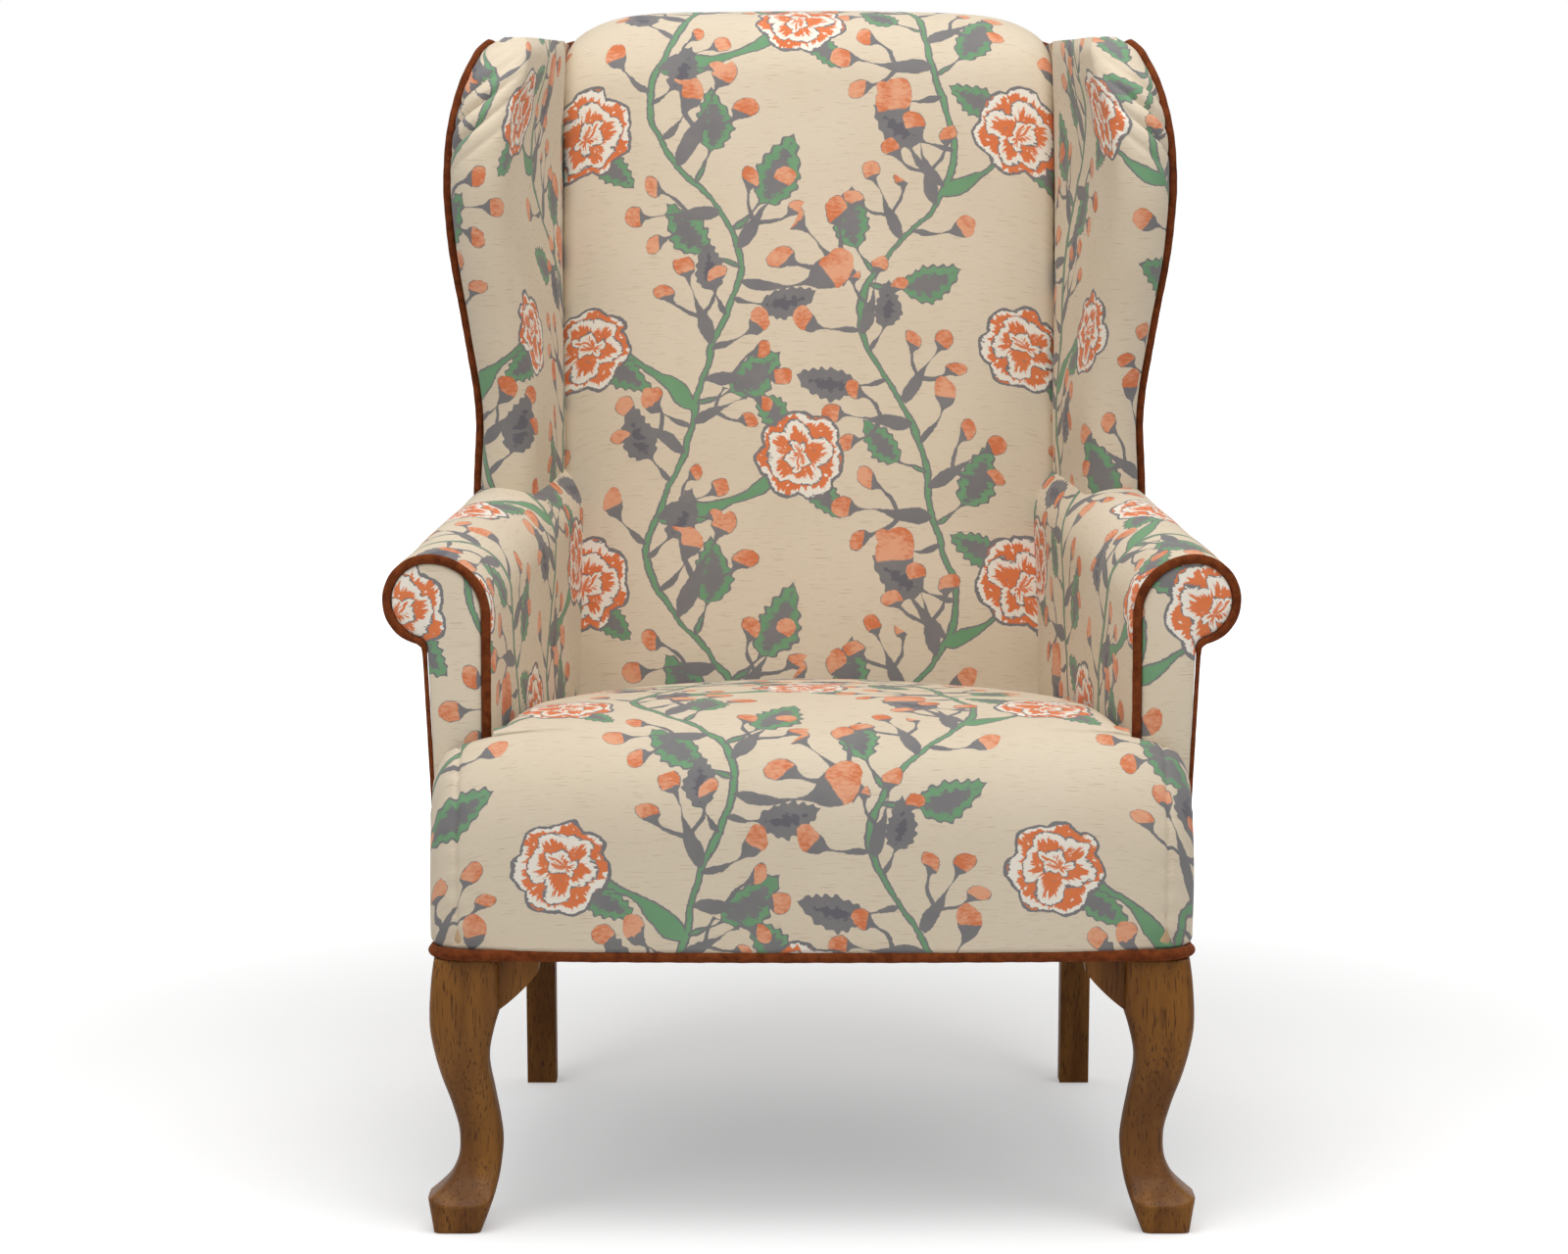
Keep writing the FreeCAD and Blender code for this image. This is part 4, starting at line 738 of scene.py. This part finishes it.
arm_x = arm_reach - (top_y - ARM_FRONT) * ARM_INWARD
edge = np.where(top_y > -0.3208, np.clip(arm_x - np.abs(x)[:, None], 0, 1), 1)
ear = np.where(np.abs(x)[:, None] > arm_reach - 0.001, np.clip(top_y - ear_rear, 0, 1), 1)
to_back = np.clip(back_y - top_y, 0, 1)
for distance, radius in ((edge, 0.024), (ear, 0.009), (to_back, 0.026)):
    reach = np.clip(radius - distance, 0, radius)
    top_z = top_z - (radius - np.sqrt(np.maximum(radius**2 - reach**2, 0))) * 0.92
edge_z = peak - 0.108
over = bow(pair(front + 0.060, peak - 0.012), pair(front + 0.014, peak - 0.044), pair(front, edge_z), 26)
down = bow(pair(front, edge_z), pair(front + 0.002, (edge_z + low) / 2), pair(front + 0.006, low), 26)
skirt = np.where(np.abs(x) < 0.3345, np.minimum(front + 0.0130, rear), rear)
hem = line(pair(front + 0.006, low), pair(skirt, low), 4)
inner = line(pair(skirt, low), pair(skirt, seat_base), 6)
under = line(pair(skirt, seat_base), pair(rear, seat_base), 14)
behind = line(pair(rear, seat_base), pair(rear, top_z[:, 0]), 10)
grid = ringed(x, pair(top_y, top_z), over, down, hem, inner, under, behind)
columns = np.arange(grid.shape[1])
shown = (columns < 112) * np.clip(columns / 8, 0, 1)
from_seam = np.abs(x)[:, None] - seam_x
seam = groove(from_seam, 0.0022, 0.0020)
pucker = 0.0007 * np.sin(grid[..., 2] * 2 * math.pi / 0.022 + grid[..., 1] * 90) * bell(from_seam, 0.010)
slack = 0.0011 * ripple(grid[..., 0], grid[..., 1] + grid[..., 2], 0.16, 3)
grid = press(grid, ((seam + pucker) * (grid[..., 1] < seam_y) + slack) * shown[None, :])
run = lengths(grid)
start = run[:, 63:64]
cloth = np.stack([np.broadcast_to(x[:, None], run.shape), start - run + 0.02], -1)
seat = skin("seat_cushion", grid, cloth)
finish_piece(seat, linen, "floral_linen", "seat_foam", "seat_cover")


# Inside back: a tall flat pad with a light crown, stuffed over the webbing, its linen drawn over the
# crest and down behind the seat.
back_half, back_round = 0.250, 0.013
angles = np.radians(np.linspace(0, 86, 8))[1:]
flat_half = back_half - back_round
x = np.concatenate([np.linspace(0, flat_half, 70), flat_half + back_round * np.sin(angles)])
inset = np.concatenate([np.zeros(70), back_round * (1 - np.cos(angles))])
x, inset = np.concatenate([-x[:0:-1], x]), np.concatenate([inset[:0:-1], inset])
s = np.abs(x) / back_half
back_top = 1.111
top = back_top - 0.003 * s**2 - 0.035 * s**8 - inset
full = 0.014 * (1 - 0.8 * s**4)
shoulder = top - 0.062
middle = PAD_BASE + 0.4 * (shoulder - PAD_BASE)
low = np.full_like(x, PAD_BASE)
panel_room = 0.0045
rear_foot = pair(outside_back(low) - panel_room - inset, low)
rear_y = outside_back(top - 0.008) - panel_room - inset
rear_top = pair(rear_y, top - 0.008)
crest_y = inside_back(top) + 0.050
crest_front = pair(crest_y, top - 0.002)
face_top = pair(inside_back(shoulder) - 0.6 * full + inset, shoulder)
face_foot = pair(inside_back(low) + inset, low)
rise = line(rear_foot, rear_top, 30)
crest = bow(rear_top, pair((rear_y + crest_y) / 2, top + 0.001), crest_front, 10)
fold = bow(crest_front, pair(inside_back(top) + 0.011 - 0.3 * full, top - 0.020), face_top, 22)
face = bow(face_top, pair(inside_back(middle) - full + inset, middle), face_foot, 90)
base = line(face_foot, rear_foot, 12)
grid = ringed(x, rise, crest, fold, face, base)
columns = np.arange(grid.shape[1])
shown = (columns >= 30) & (columns < 146)
slack = 0.0012 * ripple(grid[..., 0], grid[..., 2], 0.20, 8)
pinch = -0.006 * bell(grid[..., 2] - 0.435, 0.035) * bell(s[:, None] - 1, 0.22)
grid = press(grid, (slack + pinch) * shown[None, :])
run = lengths(grid)
start = run[:, 100:101]
cloth = np.stack([np.broadcast_to(x[:, None], run.shape), start - run + 0.21], -1)
back = skin("inside_back_cushion", grid, cloth)
finish_piece(back, linen, "floral_linen", "back_foam", "inside_back_cover")


# Arms: boards and stuffing under one piece of linen, from the seat up the inner side, over the roll and
# under the scroll. A padded facing closes the front, with a velvet welt round its edge.
ARM_X, ARM_Z, ARM_CLIMB = 0.346, 0.567, 0.11
SCROLL, SHOULDER, SHOULDER_DROP, THROAT_DROP = 0.042, 0.056, 0.014, 0.025


def side_line(y):
    """X of the chair's outer side at a depth: it narrows evenly from the front corner to the back posts."""
    return 0.337 - (np.minimum(y, 0.257) + 0.394) * 0.0676


def scroll_end(y):
    """Angle at which the scroll's curve ends at a depth. It opens toward the back."""
    return np.radians(np.interp(y, [ARM_FRONT, 0.257, 0.340], [-80, -50, -45]))


def arm_skin(side, y):
    """Arm surface for whole rows and columns: a straight inner side, a quarter shoulder, the scroll and the
    outer side. The scroll draws inward and climbs evenly toward the back."""
    run = y - ARM_FRONT
    centre_x, centre_z = ARM_X - run * ARM_INWARD, ARM_Z + run * ARM_CLIMB
    shoulder_z = centre_z - SHOULDER_DROP
    outer = side_line(y) + 0.003
    notch = scroll_end(y[:, 40])[:, None]
    f = np.linspace(0, 1, 41)[None, :]
    g = np.linspace(0, 1, 31)[None, :]
    h = np.linspace(0, 1, 13)[None, :]
    parts = []
    for share, columns, shape in ((f, slice(0, 41), "inner"), (g, slice(40, 71), "shoulder"),
                                  (f, slice(70, 111), "scroll"), (h, slice(110, 123), "throat"),
                                  (h, slice(122, 135), "outer"), (h, slice(134, 147), "base")):
        cx, cz, sz, out, at = (v[:, columns] for v in (centre_x, centre_z, shoulder_z, outer, y))
        tip_x, tip_z = cx + SCROLL * np.cos(notch), cz + SCROLL * np.sin(notch)
        if shape == "inner":
            px, pz = cx - SHOULDER, PAD_BASE + (sz - PAD_BASE) * share
        elif shape == "shoulder":
            angle = math.pi * (1 - share / 2)
            px, pz = cx + SHOULDER * np.cos(angle), sz + SHOULDER * np.sin(angle)
        elif shape == "scroll":
            angle = math.pi / 2 + (notch - math.pi / 2) * share
            px, pz = cx + SCROLL * np.cos(angle), cz + SCROLL * np.sin(angle)
        elif shape == "throat":
            px, pz = tip_x + (out - tip_x) * share, tip_z - THROAT_DROP * share
        elif shape == "outer":
            px, pz = out + 0 * share, tip_z - THROAT_DROP + (PAD_BASE - tip_z + THROAT_DROP) * share
        else:
            px, pz = out + (cx - SHOULDER - out) * share, PAD_BASE + 0 * share
        parts.append(np.stack(np.broadcast_arrays(px, at, pz), -1)[:, :-1])
    return np.concatenate(parts, 1) * np.array([side, 1, 1])


def tube(name, path, thickness, across):
    """A welt: a round section of a thickness carried along a path, slightly uneven, square to the path and
    to a given direction."""
    ahead = np.gradient(path, axis=0)
    ahead /= np.linalg.norm(ahead, axis=1, keepdims=True)
    out = np.cross(ahead, np.asarray(across, float))
    out /= np.linalg.norm(out, axis=1, keepdims=True)
    up = np.cross(out, ahead)
    angle = np.linspace(0, 2 * math.pi, 16, endpoint=False)[None, :, None]
    step = np.linalg.norm(np.diff(path, axis=0), axis=1)
    run = np.concatenate([[0], np.cumsum(step)])
    radius = (thickness / 2 * (1 + 0.02 * np.sin(run * 330) + 0.02 * np.sin(run * 143 + 1)))[:, None, None]
    return skin(name, path[:, None] + radius * (np.cos(angle) * out[:, None] + np.sin(angle) * up[:, None]))


def even(points, step):
    """A path of even steps through points: each stretch of the line is divided by its length."""
    points = np.asarray(points, float)
    run = np.concatenate([[0], np.cumsum(np.linalg.norm(np.diff(points, axis=0), axis=1))])
    count = max(int(run[-1] / step), 8)
    at = np.linspace(0, run[-1], count)
    return np.stack([np.interp(at, run, points[:, i]) for i in range(points.shape[1])], 1)


def arc(centre, radius, start, end, count):
    """Points on a circle between two angles in degrees."""
    angle = np.radians(np.linspace(start, end, count))
    return np.stack([centre[0] + radius * np.cos(angle), centre[1] + radius * np.sin(angle)], 1)


def facing_edges(inset, base, spread):
    """The facing's edge moved inward, as its inner line and its outer line, each from the base to the
    scroll's tip. Below the scroll the outer line spreads a little."""
    roll = (ARM_X, ARM_Z)
    inner_x, outer_x, throat_angle = ARM_X - SHOULDER + inset, 0.344 - inset, -75
    inner = np.concatenate([[(inner_x, base), (inner_x, 0.45)],
                            arc((ARM_X, ARM_Z - SHOULDER_DROP), SHOULDER - inset, 180, 90, 24),
                            arc(roll, SCROLL - inset, 90, 0, 24)])
    turn = 0.006 + inset
    throat = arc(roll, SCROLL - inset + turn, throat_angle, 0, 2)[0]
    outer = np.concatenate([[(outer_x, base)], arc(throat, turn, 180, 180 + throat_angle, 14),
                            arc(roll, SCROLL - inset, throat_angle, 0, 20)])
    outer[:, 0] += spread * np.clip((0.540 - outer[:, 1]) / 0.025, 0, 1)
    return inner, outer


velvet, bench, shader = material("rust velvet")
place = bench.node("TexCoord", None, 3)
pile = bench.noise(place, 900.0, 3.0, 0.7)
crush = bench.noise(place, 130.0, 2.0, 0.5)
colour = bench.mix((pile * 0.6 + crush * 0.6).step(0.35, 0.85), (0.075, 0.016, 0.004), (0.215, 0.052, 0.013))
bench.finish(shader, colour, 0.75 + pile * 0.2, pile + crush, 0.5, 0.0008)
shader.inputs["Specular IOR Level"].default_value = 0.1
shader.inputs["Sheen Weight"].default_value = 0.22
shader.inputs["Sheen Roughness"].default_value = 0.35
shader.inputs["Sheen Tint"].default_value = (0.80, 0.36, 0.18, 1)

welt_thickness = 0.0085
for name, side in SIDES:
    share = np.concatenate([[0, 0.002, 0.005, 0.010], np.linspace(0.02, 1, 96)])[:, None]
    # A first skin gives the height at which each column ends; the second ends it on the leaning back.
    rough = arm_skin(side, ARM_FRONT + share * np.full((1, 147), 0.640))
    rear_y = outside_back(rough[-1, :, 2]) - 0.005
    rear_y = np.append(rear_y, rear_y[-1])
    grid = arm_skin(side, ARM_FRONT + share * (rear_y - ARM_FRONT)[None, :])
    columns = np.arange(grid.shape[1])
    shown = (columns >= 6) & (columns < 124)
    depth = grid[..., 1] - ARM_FRONT
    tuck = 0.0030 * np.clip(1 - depth / 0.012, 0, 1) ** 2
    slack = 0.0012 * ripple(grid[..., 1], lengths(grid)[:, :-1], 0.15, 11 + side)
    grid = press(grid, (slack * np.clip(depth / 0.05, 0, 1) - tuck) * shown[None, :])
    run = lengths(grid)
    cloth = np.stack([-side * closed(grid)[..., 1] + 0.11 * side, run], -1)
    arm = finish_piece(skin(name + "_arm_cushion", grid, cloth), linen, "floral_linen",
                       name + "_arm_pad", name + "_inside_arm_cover")

    first, last = (even(edge_line, 0.0024) for edge_line in facing_edges(0.0088, 0.3405, 0.0042))
    first, last = (np.stack([np.interp(np.linspace(0, 1, 150), np.linspace(0, 1, len(edge)), edge[:, i])
                             for i in (0, 1)], 1) for edge in (first, last))
    across = np.linspace(0, 1, 25)[None, :]
    x, z = (first[:, i:i + 1] * (1 - across) + last[:, i:i + 1] * across for i in (0, 1))
    wide = np.linalg.norm(last - first, axis=1)[:, None]
    proud = 0.0028 * (1 - np.abs(2 * across - 1) ** 4) * np.clip(wide / 0.02, 0, 1)
    front_face = np.stack([x * side, -0.3175 - proud, z], -1)
    rear_face = np.stack([x * side, np.full_like(x, -0.3122), z], -1)
    grid = np.concatenate([front_face, rear_face[:, ::-1]], 1)
    ends = closed(grid)
    cloth = np.stack([ends[..., 0] + 0.29 * side, ends[..., 2]], -1)
    facing = skin(name + "_arm_front_facing", grid, cloth)
    finish_piece(facing, linen, "floral_linen", name + "_arm_facing")

    inner, outer = facing_edges(0.00425, 0.360, 0.0022)
    route = even(np.concatenate([inner[:-1], outer[::-1]]), 0.002)
    path = np.stack([side * route[:, 0], np.full(len(route), -0.3168), route[:, 1]], 1)
    slim = np.clip((0.540 - route[:, 1]) / 0.025, 0, 1) * (route[:, 0] > 0.33)
    path[:, 1] += 0.0016 * slim
    finish_piece(tube(name + "_arm_front_welt", path, welt_thickness - 0.0042 * slim, (0, 1, 0)), velvet,
                 "velvet_welt", name + "_arm_welt")


# Wings: stuffed boards that stand on the arms and flare outward, with a thick rounded front edge. The
# linen is drawn round that edge to a velvet welt, and gathered into small pleats at the upper corner.
WING_BASE, WING_TOP, BOARD_X = 0.640, 1.079, 0.296
WING = np.array([
    (-0.13, 0.10, -0.13, 1.0), (0.0, 0.12, 0.0, 1.0), (0.17, 0.0, 0.10, 1.0), (0.36, 0.42, 0.40, 1.0),
    (0.55, 0.90, 0.80, 1.0), (0.71, 1.0, 1.0, 1.0), (0.84, 0.70, 0.88, 1.0), (0.935, 0.12, 0.52, 0.94),
    (0.98, -0.40, 0.16, 0.72), (1.0, -0.95, -0.20, 0.40),
])


def wing_measures(share):
    """Outer X, front Y and half thickness of the wing at a share of its height, smooth between stations.
    Each station holds its share of the height, its flare, its reach forward and its thickness."""
    wide, reach, thick = (ease(share, WING[:, 0], WING[:, i]) for i in (1, 2, 3))
    return 0.3185 + 0.024 * wide, -0.075 * reach, 0.027 * thick


def wing_outline(share, z):
    """Level outline of a wing for whole rows of heights: outer face, rounded front, inner face, back."""
    outer, front, nose = wing_measures(share)
    crease_y, crease_x = inside_back(z) + 0.026, 0.2504
    rear = outside_back(z) - panel_room
    parts = []
    for first, last, shape in ((0, 29, "outer"), (29, 59, "nose"), (59, 99, "inner"), (99, 111, "crease"),
                               (111, 120, "rear")):
        f = np.linspace(0, 1, last - first + 1)[None, :]
        out, fr, no, cy, re = (v[:, first:last + 1] for v in (outer, front, nose, crease_y, rear))
        if shape == "outer":
            px, py = BOARD_X + (out - BOARD_X) * f, re + (fr + 0.9 * no - re) * f
        elif shape == "nose":
            px, py = out - no + no * np.cos(math.pi * f), fr + 0.9 * no * (1 - np.sin(math.pi * f))
        elif shape == "inner":
            ax, ay, bx, by = out - 2 * no, fr + 0.9 * no, crease_x, cy
            mx, my = (ax + bx) / 2 - 0.005, (fr + no + cy) / 2
            kx, ky = 2 * mx - (ax + bx) / 2, 2 * my - (ay + by) / 2
            px = ax * (1 - f) ** 2 + 2 * kx * f * (1 - f) + bx * f**2 - 0.004 * bell(f - 0.80, 0.14)
            py = ay * (1 - f) ** 2 + 2 * ky * f * (1 - f) + by * f**2
        elif shape == "crease":
            px, py = crease_x, cy + (re - cy) * f
        else:
            px, py = crease_x + (BOARD_X - crease_x) * f, re
        parts.append(np.stack(np.broadcast_arrays(px, py), -1)[:, :-1])
    return np.concatenate(parts, 1)


def arm_top(x, y):
    """Height of the arm's roll over a place: its shoulder's arc inside, its scroll's arc outside."""
    run = y - ARM_FRONT
    off = x - (ARM_X - run * ARM_INWARD)
    radius = np.where(off < 0, SHOULDER, SCROLL)
    lift = np.sqrt(np.maximum(radius**2 - np.minimum(np.abs(off), radius - 0.002) ** 2, 0))
    return ARM_Z + run * ARM_CLIMB + lift - np.where(off < 0, SHOULDER_DROP, 0)


for name, side in SIDES:
    rounding = np.sin(np.linspace(0, math.pi / 2, 36))[1:]
    rows = np.concatenate([np.linspace(0, 0.93, 300), 0.93 + 0.07 * rounding])
    # Each column starts on the arm's roll, first under the wing's own foot and then under its true place.
    foot = np.zeros((1, 121))
    first = wing_outline(foot, WING_BASE + foot)
    low_z = arm_top(first[..., 0], first[..., 1])
    low_z = np.append(low_z, low_z[:, :1], 1)
    z = low_z + (WING_TOP - low_z) * rows[:, None]
    level = wing_outline((z - WING_BASE) / (WING_TOP - WING_BASE), z)
    low_z = arm_top(level[:1, :, 0], level[:1, :, 1]) - 0.001
    z = low_z + (WING_TOP - low_z) * rows[:, None]
    grid = np.concatenate([level[..., :1] * side, level[..., 1:], z[..., None]], 2)
    column = np.arange(grid.shape[1])[None, :]
    fan = np.clip((column - 29) / 24, 0, 1)
    fold_place = (z - 0.952 - 0.055 * fan) / 0.024
    fold = np.abs((fold_place % 1.0) - 0.5) * 2
    window = bell(z - 0.997 - 0.03 * fan, 0.040) * bell(column - 39, 9.0) * (column < 60)
    pleat = -0.0105 * (1 - fold) ** 3 * window + 0.0024 * window
    slack = 0.0012 * ripple(grid[..., 1], z, 0.13, 31 + side) * bell(column - 60, 34)
    grid = press(grid, pleat + slack)
    run = lengths(grid)
    inner_edge = run[:, 59:60]
    climb = np.linalg.norm(np.diff(grid, axis=0), axis=2)
    height = np.concatenate([np.zeros((1, grid.shape[1])), np.cumsum(climb, 0)]) + z[:1]
    cloth = np.stack([side * (run - inner_edge) + 0.2 * side, closed(height)], -1)
    wing = finish_piece(skin(name + "_wing_cushion", grid, cloth), linen, "floral_linen",
                        name + "_wing_pad", name + "_inside_wing_cover")

    share = np.linspace(-0.02, 0.985, 160)
    outer, front, nose = wing_measures(share)
    path = np.stack([side * (outer + 0.0035), front + 0.9 * nose + 0.0042,
                     WING_BASE + (WING_TOP - WING_BASE) * share], 1)
    low_z = arm_top(side * path[:, 0], path[:, 1])
    path = path[path[:, 2] > low_z - 0.006]
    end = path[-1] + np.array([(-side * 0.006, 0.012, -0.003), (-side * 0.012, 0.022, -0.011)])
    path = np.concatenate([path, end])
    finish_piece(tube(name + "_wing_front_welt", even(path, 0.002), welt_thickness, (0, 1, 0)), velvet,
                 "velvet_welt", name + "_wing_welt")


# Outside covers: linen over thin wadding and board, drawn flat over the outside of the arms, the wings
# and the back. A velvet welt edges the back and the base.
def slab(face, out, thickness):
    """A thin padded panel: a face grid, its back, and a thickness that rounds off toward all four edges."""
    rows, columns = face.shape[:2]
    u = np.abs(np.linspace(-1, 1, columns))[None, :]
    v = np.abs(np.linspace(-1, 1, rows))[:, None]
    soft = (1 - u**40) * (1 - v**40)
    lift = thickness * (0.35 + 0.65 * np.sqrt(np.maximum(soft, 0)))
    outside = face + np.asarray(out, float) * lift[..., None]
    return np.concatenate([outside, face[:, ::-1]], 1)


cover_front, hem_z = -0.3118, 0.2605
for name, side in SIDES:
    v = np.linspace(0, 1, 60)[:, None]
    u = np.linspace(0, 1, 80)[None, :]
    y = cover_front + u * (outside_back(0.45) - 0.006 - cover_front)
    high = 0.540 + (y - ARM_FRONT) * ARM_CLIMB + SCROLL * np.sin(scroll_end(y))
    high = high + 0.046 * np.clip((y - 0.22) / 0.06, 0, 1)
    z = hem_z + (high - hem_z) * v
    y = cover_front + u * (outside_back(z) - panel_room - cover_front)
    face = np.stack([side * (side_line(y) + 0.0032), y, z], -1)
    grid = slab(face, (side, 0, 0), 0.0037)
    ends = closed(grid)
    cloth = np.stack([side * ends[..., 1], ends[..., 2]], -1)
    panel = finish_piece(skin(name + "_outside_arm_cover", grid, cloth), linen, "floral_linen",
                         name + "_outside_arm_panel")

    share = np.linspace(-0.02, 0.965, 90)[:, None] + 0 * u
    z = WING_BASE + (WING_TOP - WING_BASE) * share
    outer, front, nose = wing_measures(share)
    start = front + 0.9 * nose
    begin = start + 0.012
    end = outside_back(z) - panel_room
    y = begin + (end - begin) * u
    x = outer - (outer - BOARD_X) / (end - start) * (y - start) + 0.0004
    low_z = arm_top(x[0], y[0])[None, :]
    z = np.where(share < 0.2, np.maximum(z, low_z + (z - z[0]) * (z[20] - low_z) / (z[20] - z[0])), z)
    face = np.stack([side * x, y, z], -1)
    grid = slab(face, (side, 0, 0), 0.0037)
    ends = closed(grid)
    cloth = np.stack([side * ends[..., 1] + 0.1, ends[..., 2] + 0.12], -1)
    panel = finish_piece(skin(name + "_outside_wing_cover", grid, cloth), linen, "floral_linen",
                         name + "_outside_wing_panel")


BACK_HALF, BACK_ROUND = 0.299, 0.056


def crest_line(x):
    """Height of the outside back's top edge: a low arch with a round corner at each side."""
    past = np.clip(np.abs(x) - (BACK_HALF - BACK_ROUND), 0, BACK_ROUND)
    corner = BACK_ROUND - np.sqrt(np.maximum(BACK_ROUND**2 - past**2, 0))
    return 1.1035 - 0.0365 * (x / BACK_HALF) ** 2 - corner


v = np.linspace(0, 1, 120)[:, None]
x = BACK_HALF * np.linspace(-1, 1, 140)[None, :] + 0 * v
z = 0.262 + (crest_line(x) - 0.262) * v
face = np.stack([x, outside_back(z) - 0.0040, z], -1)
grid = slab(face, (0, 0.986, -0.165), 0.0039)
ends = closed(grid)
cloth = np.stack([-ends[..., 0], ends[..., 2] * 1.014], -1)
panel = finish_piece(skin("outside_back_cover", grid, cloth), linen, "floral_linen", "outside_back_panel")

edge_x = np.linspace(-BACK_HALF, BACK_HALF, 400)
welt_foot = 0.268
route = np.concatenate([[(-BACK_HALF, welt_foot)], np.stack([edge_x, crest_line(edge_x)], 1),
                        [(BACK_HALF, welt_foot)]])
route = even(route, 0.003)
path = np.stack([route[:, 0], outside_back(route[:, 1]) - 0.0020, route[:, 1]], 1)
finish_piece(tube("outside_back_welt", path, welt_thickness, (0, 1, 0)), velvet, "velvet_welt", "back_welt")

offset, front_y, front_bow, corner_x, corner_round = 0.0053, -0.394, 0.009, 0.301, 0.036
bend = np.radians(np.linspace(0, 90, 24))
corner_y = front_y + corner_round
side_y = np.linspace(0.235, corner_y, 60)
half_side = np.stack([side_line(side_y) + offset, side_y], 1)
turned = np.stack([corner_x + (0.0342 + offset) * np.cos(bend),
                   corner_y - (corner_round + offset - front_bow) * np.sin(bend)], 1)
across = np.linspace(corner_x, 0, 60)[1:]
bowed = np.stack([across, front_y - offset + front_bow * (across / corner_x) ** 2], 1)
half_route = np.concatenate([half_side, turned[1:], bowed])
route = even(np.concatenate([half_route, (half_route * np.array([-1, 1]))[::-1][1:]]), 0.003)
path = np.stack([route[:, 0], route[:, 1], np.full(len(route), 0.2556)], 1)
finish_piece(tube("seat_base_welt", path, 0.0105, (0, 0, 1)), velvet, "velvet_welt", "base_welt")

low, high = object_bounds()
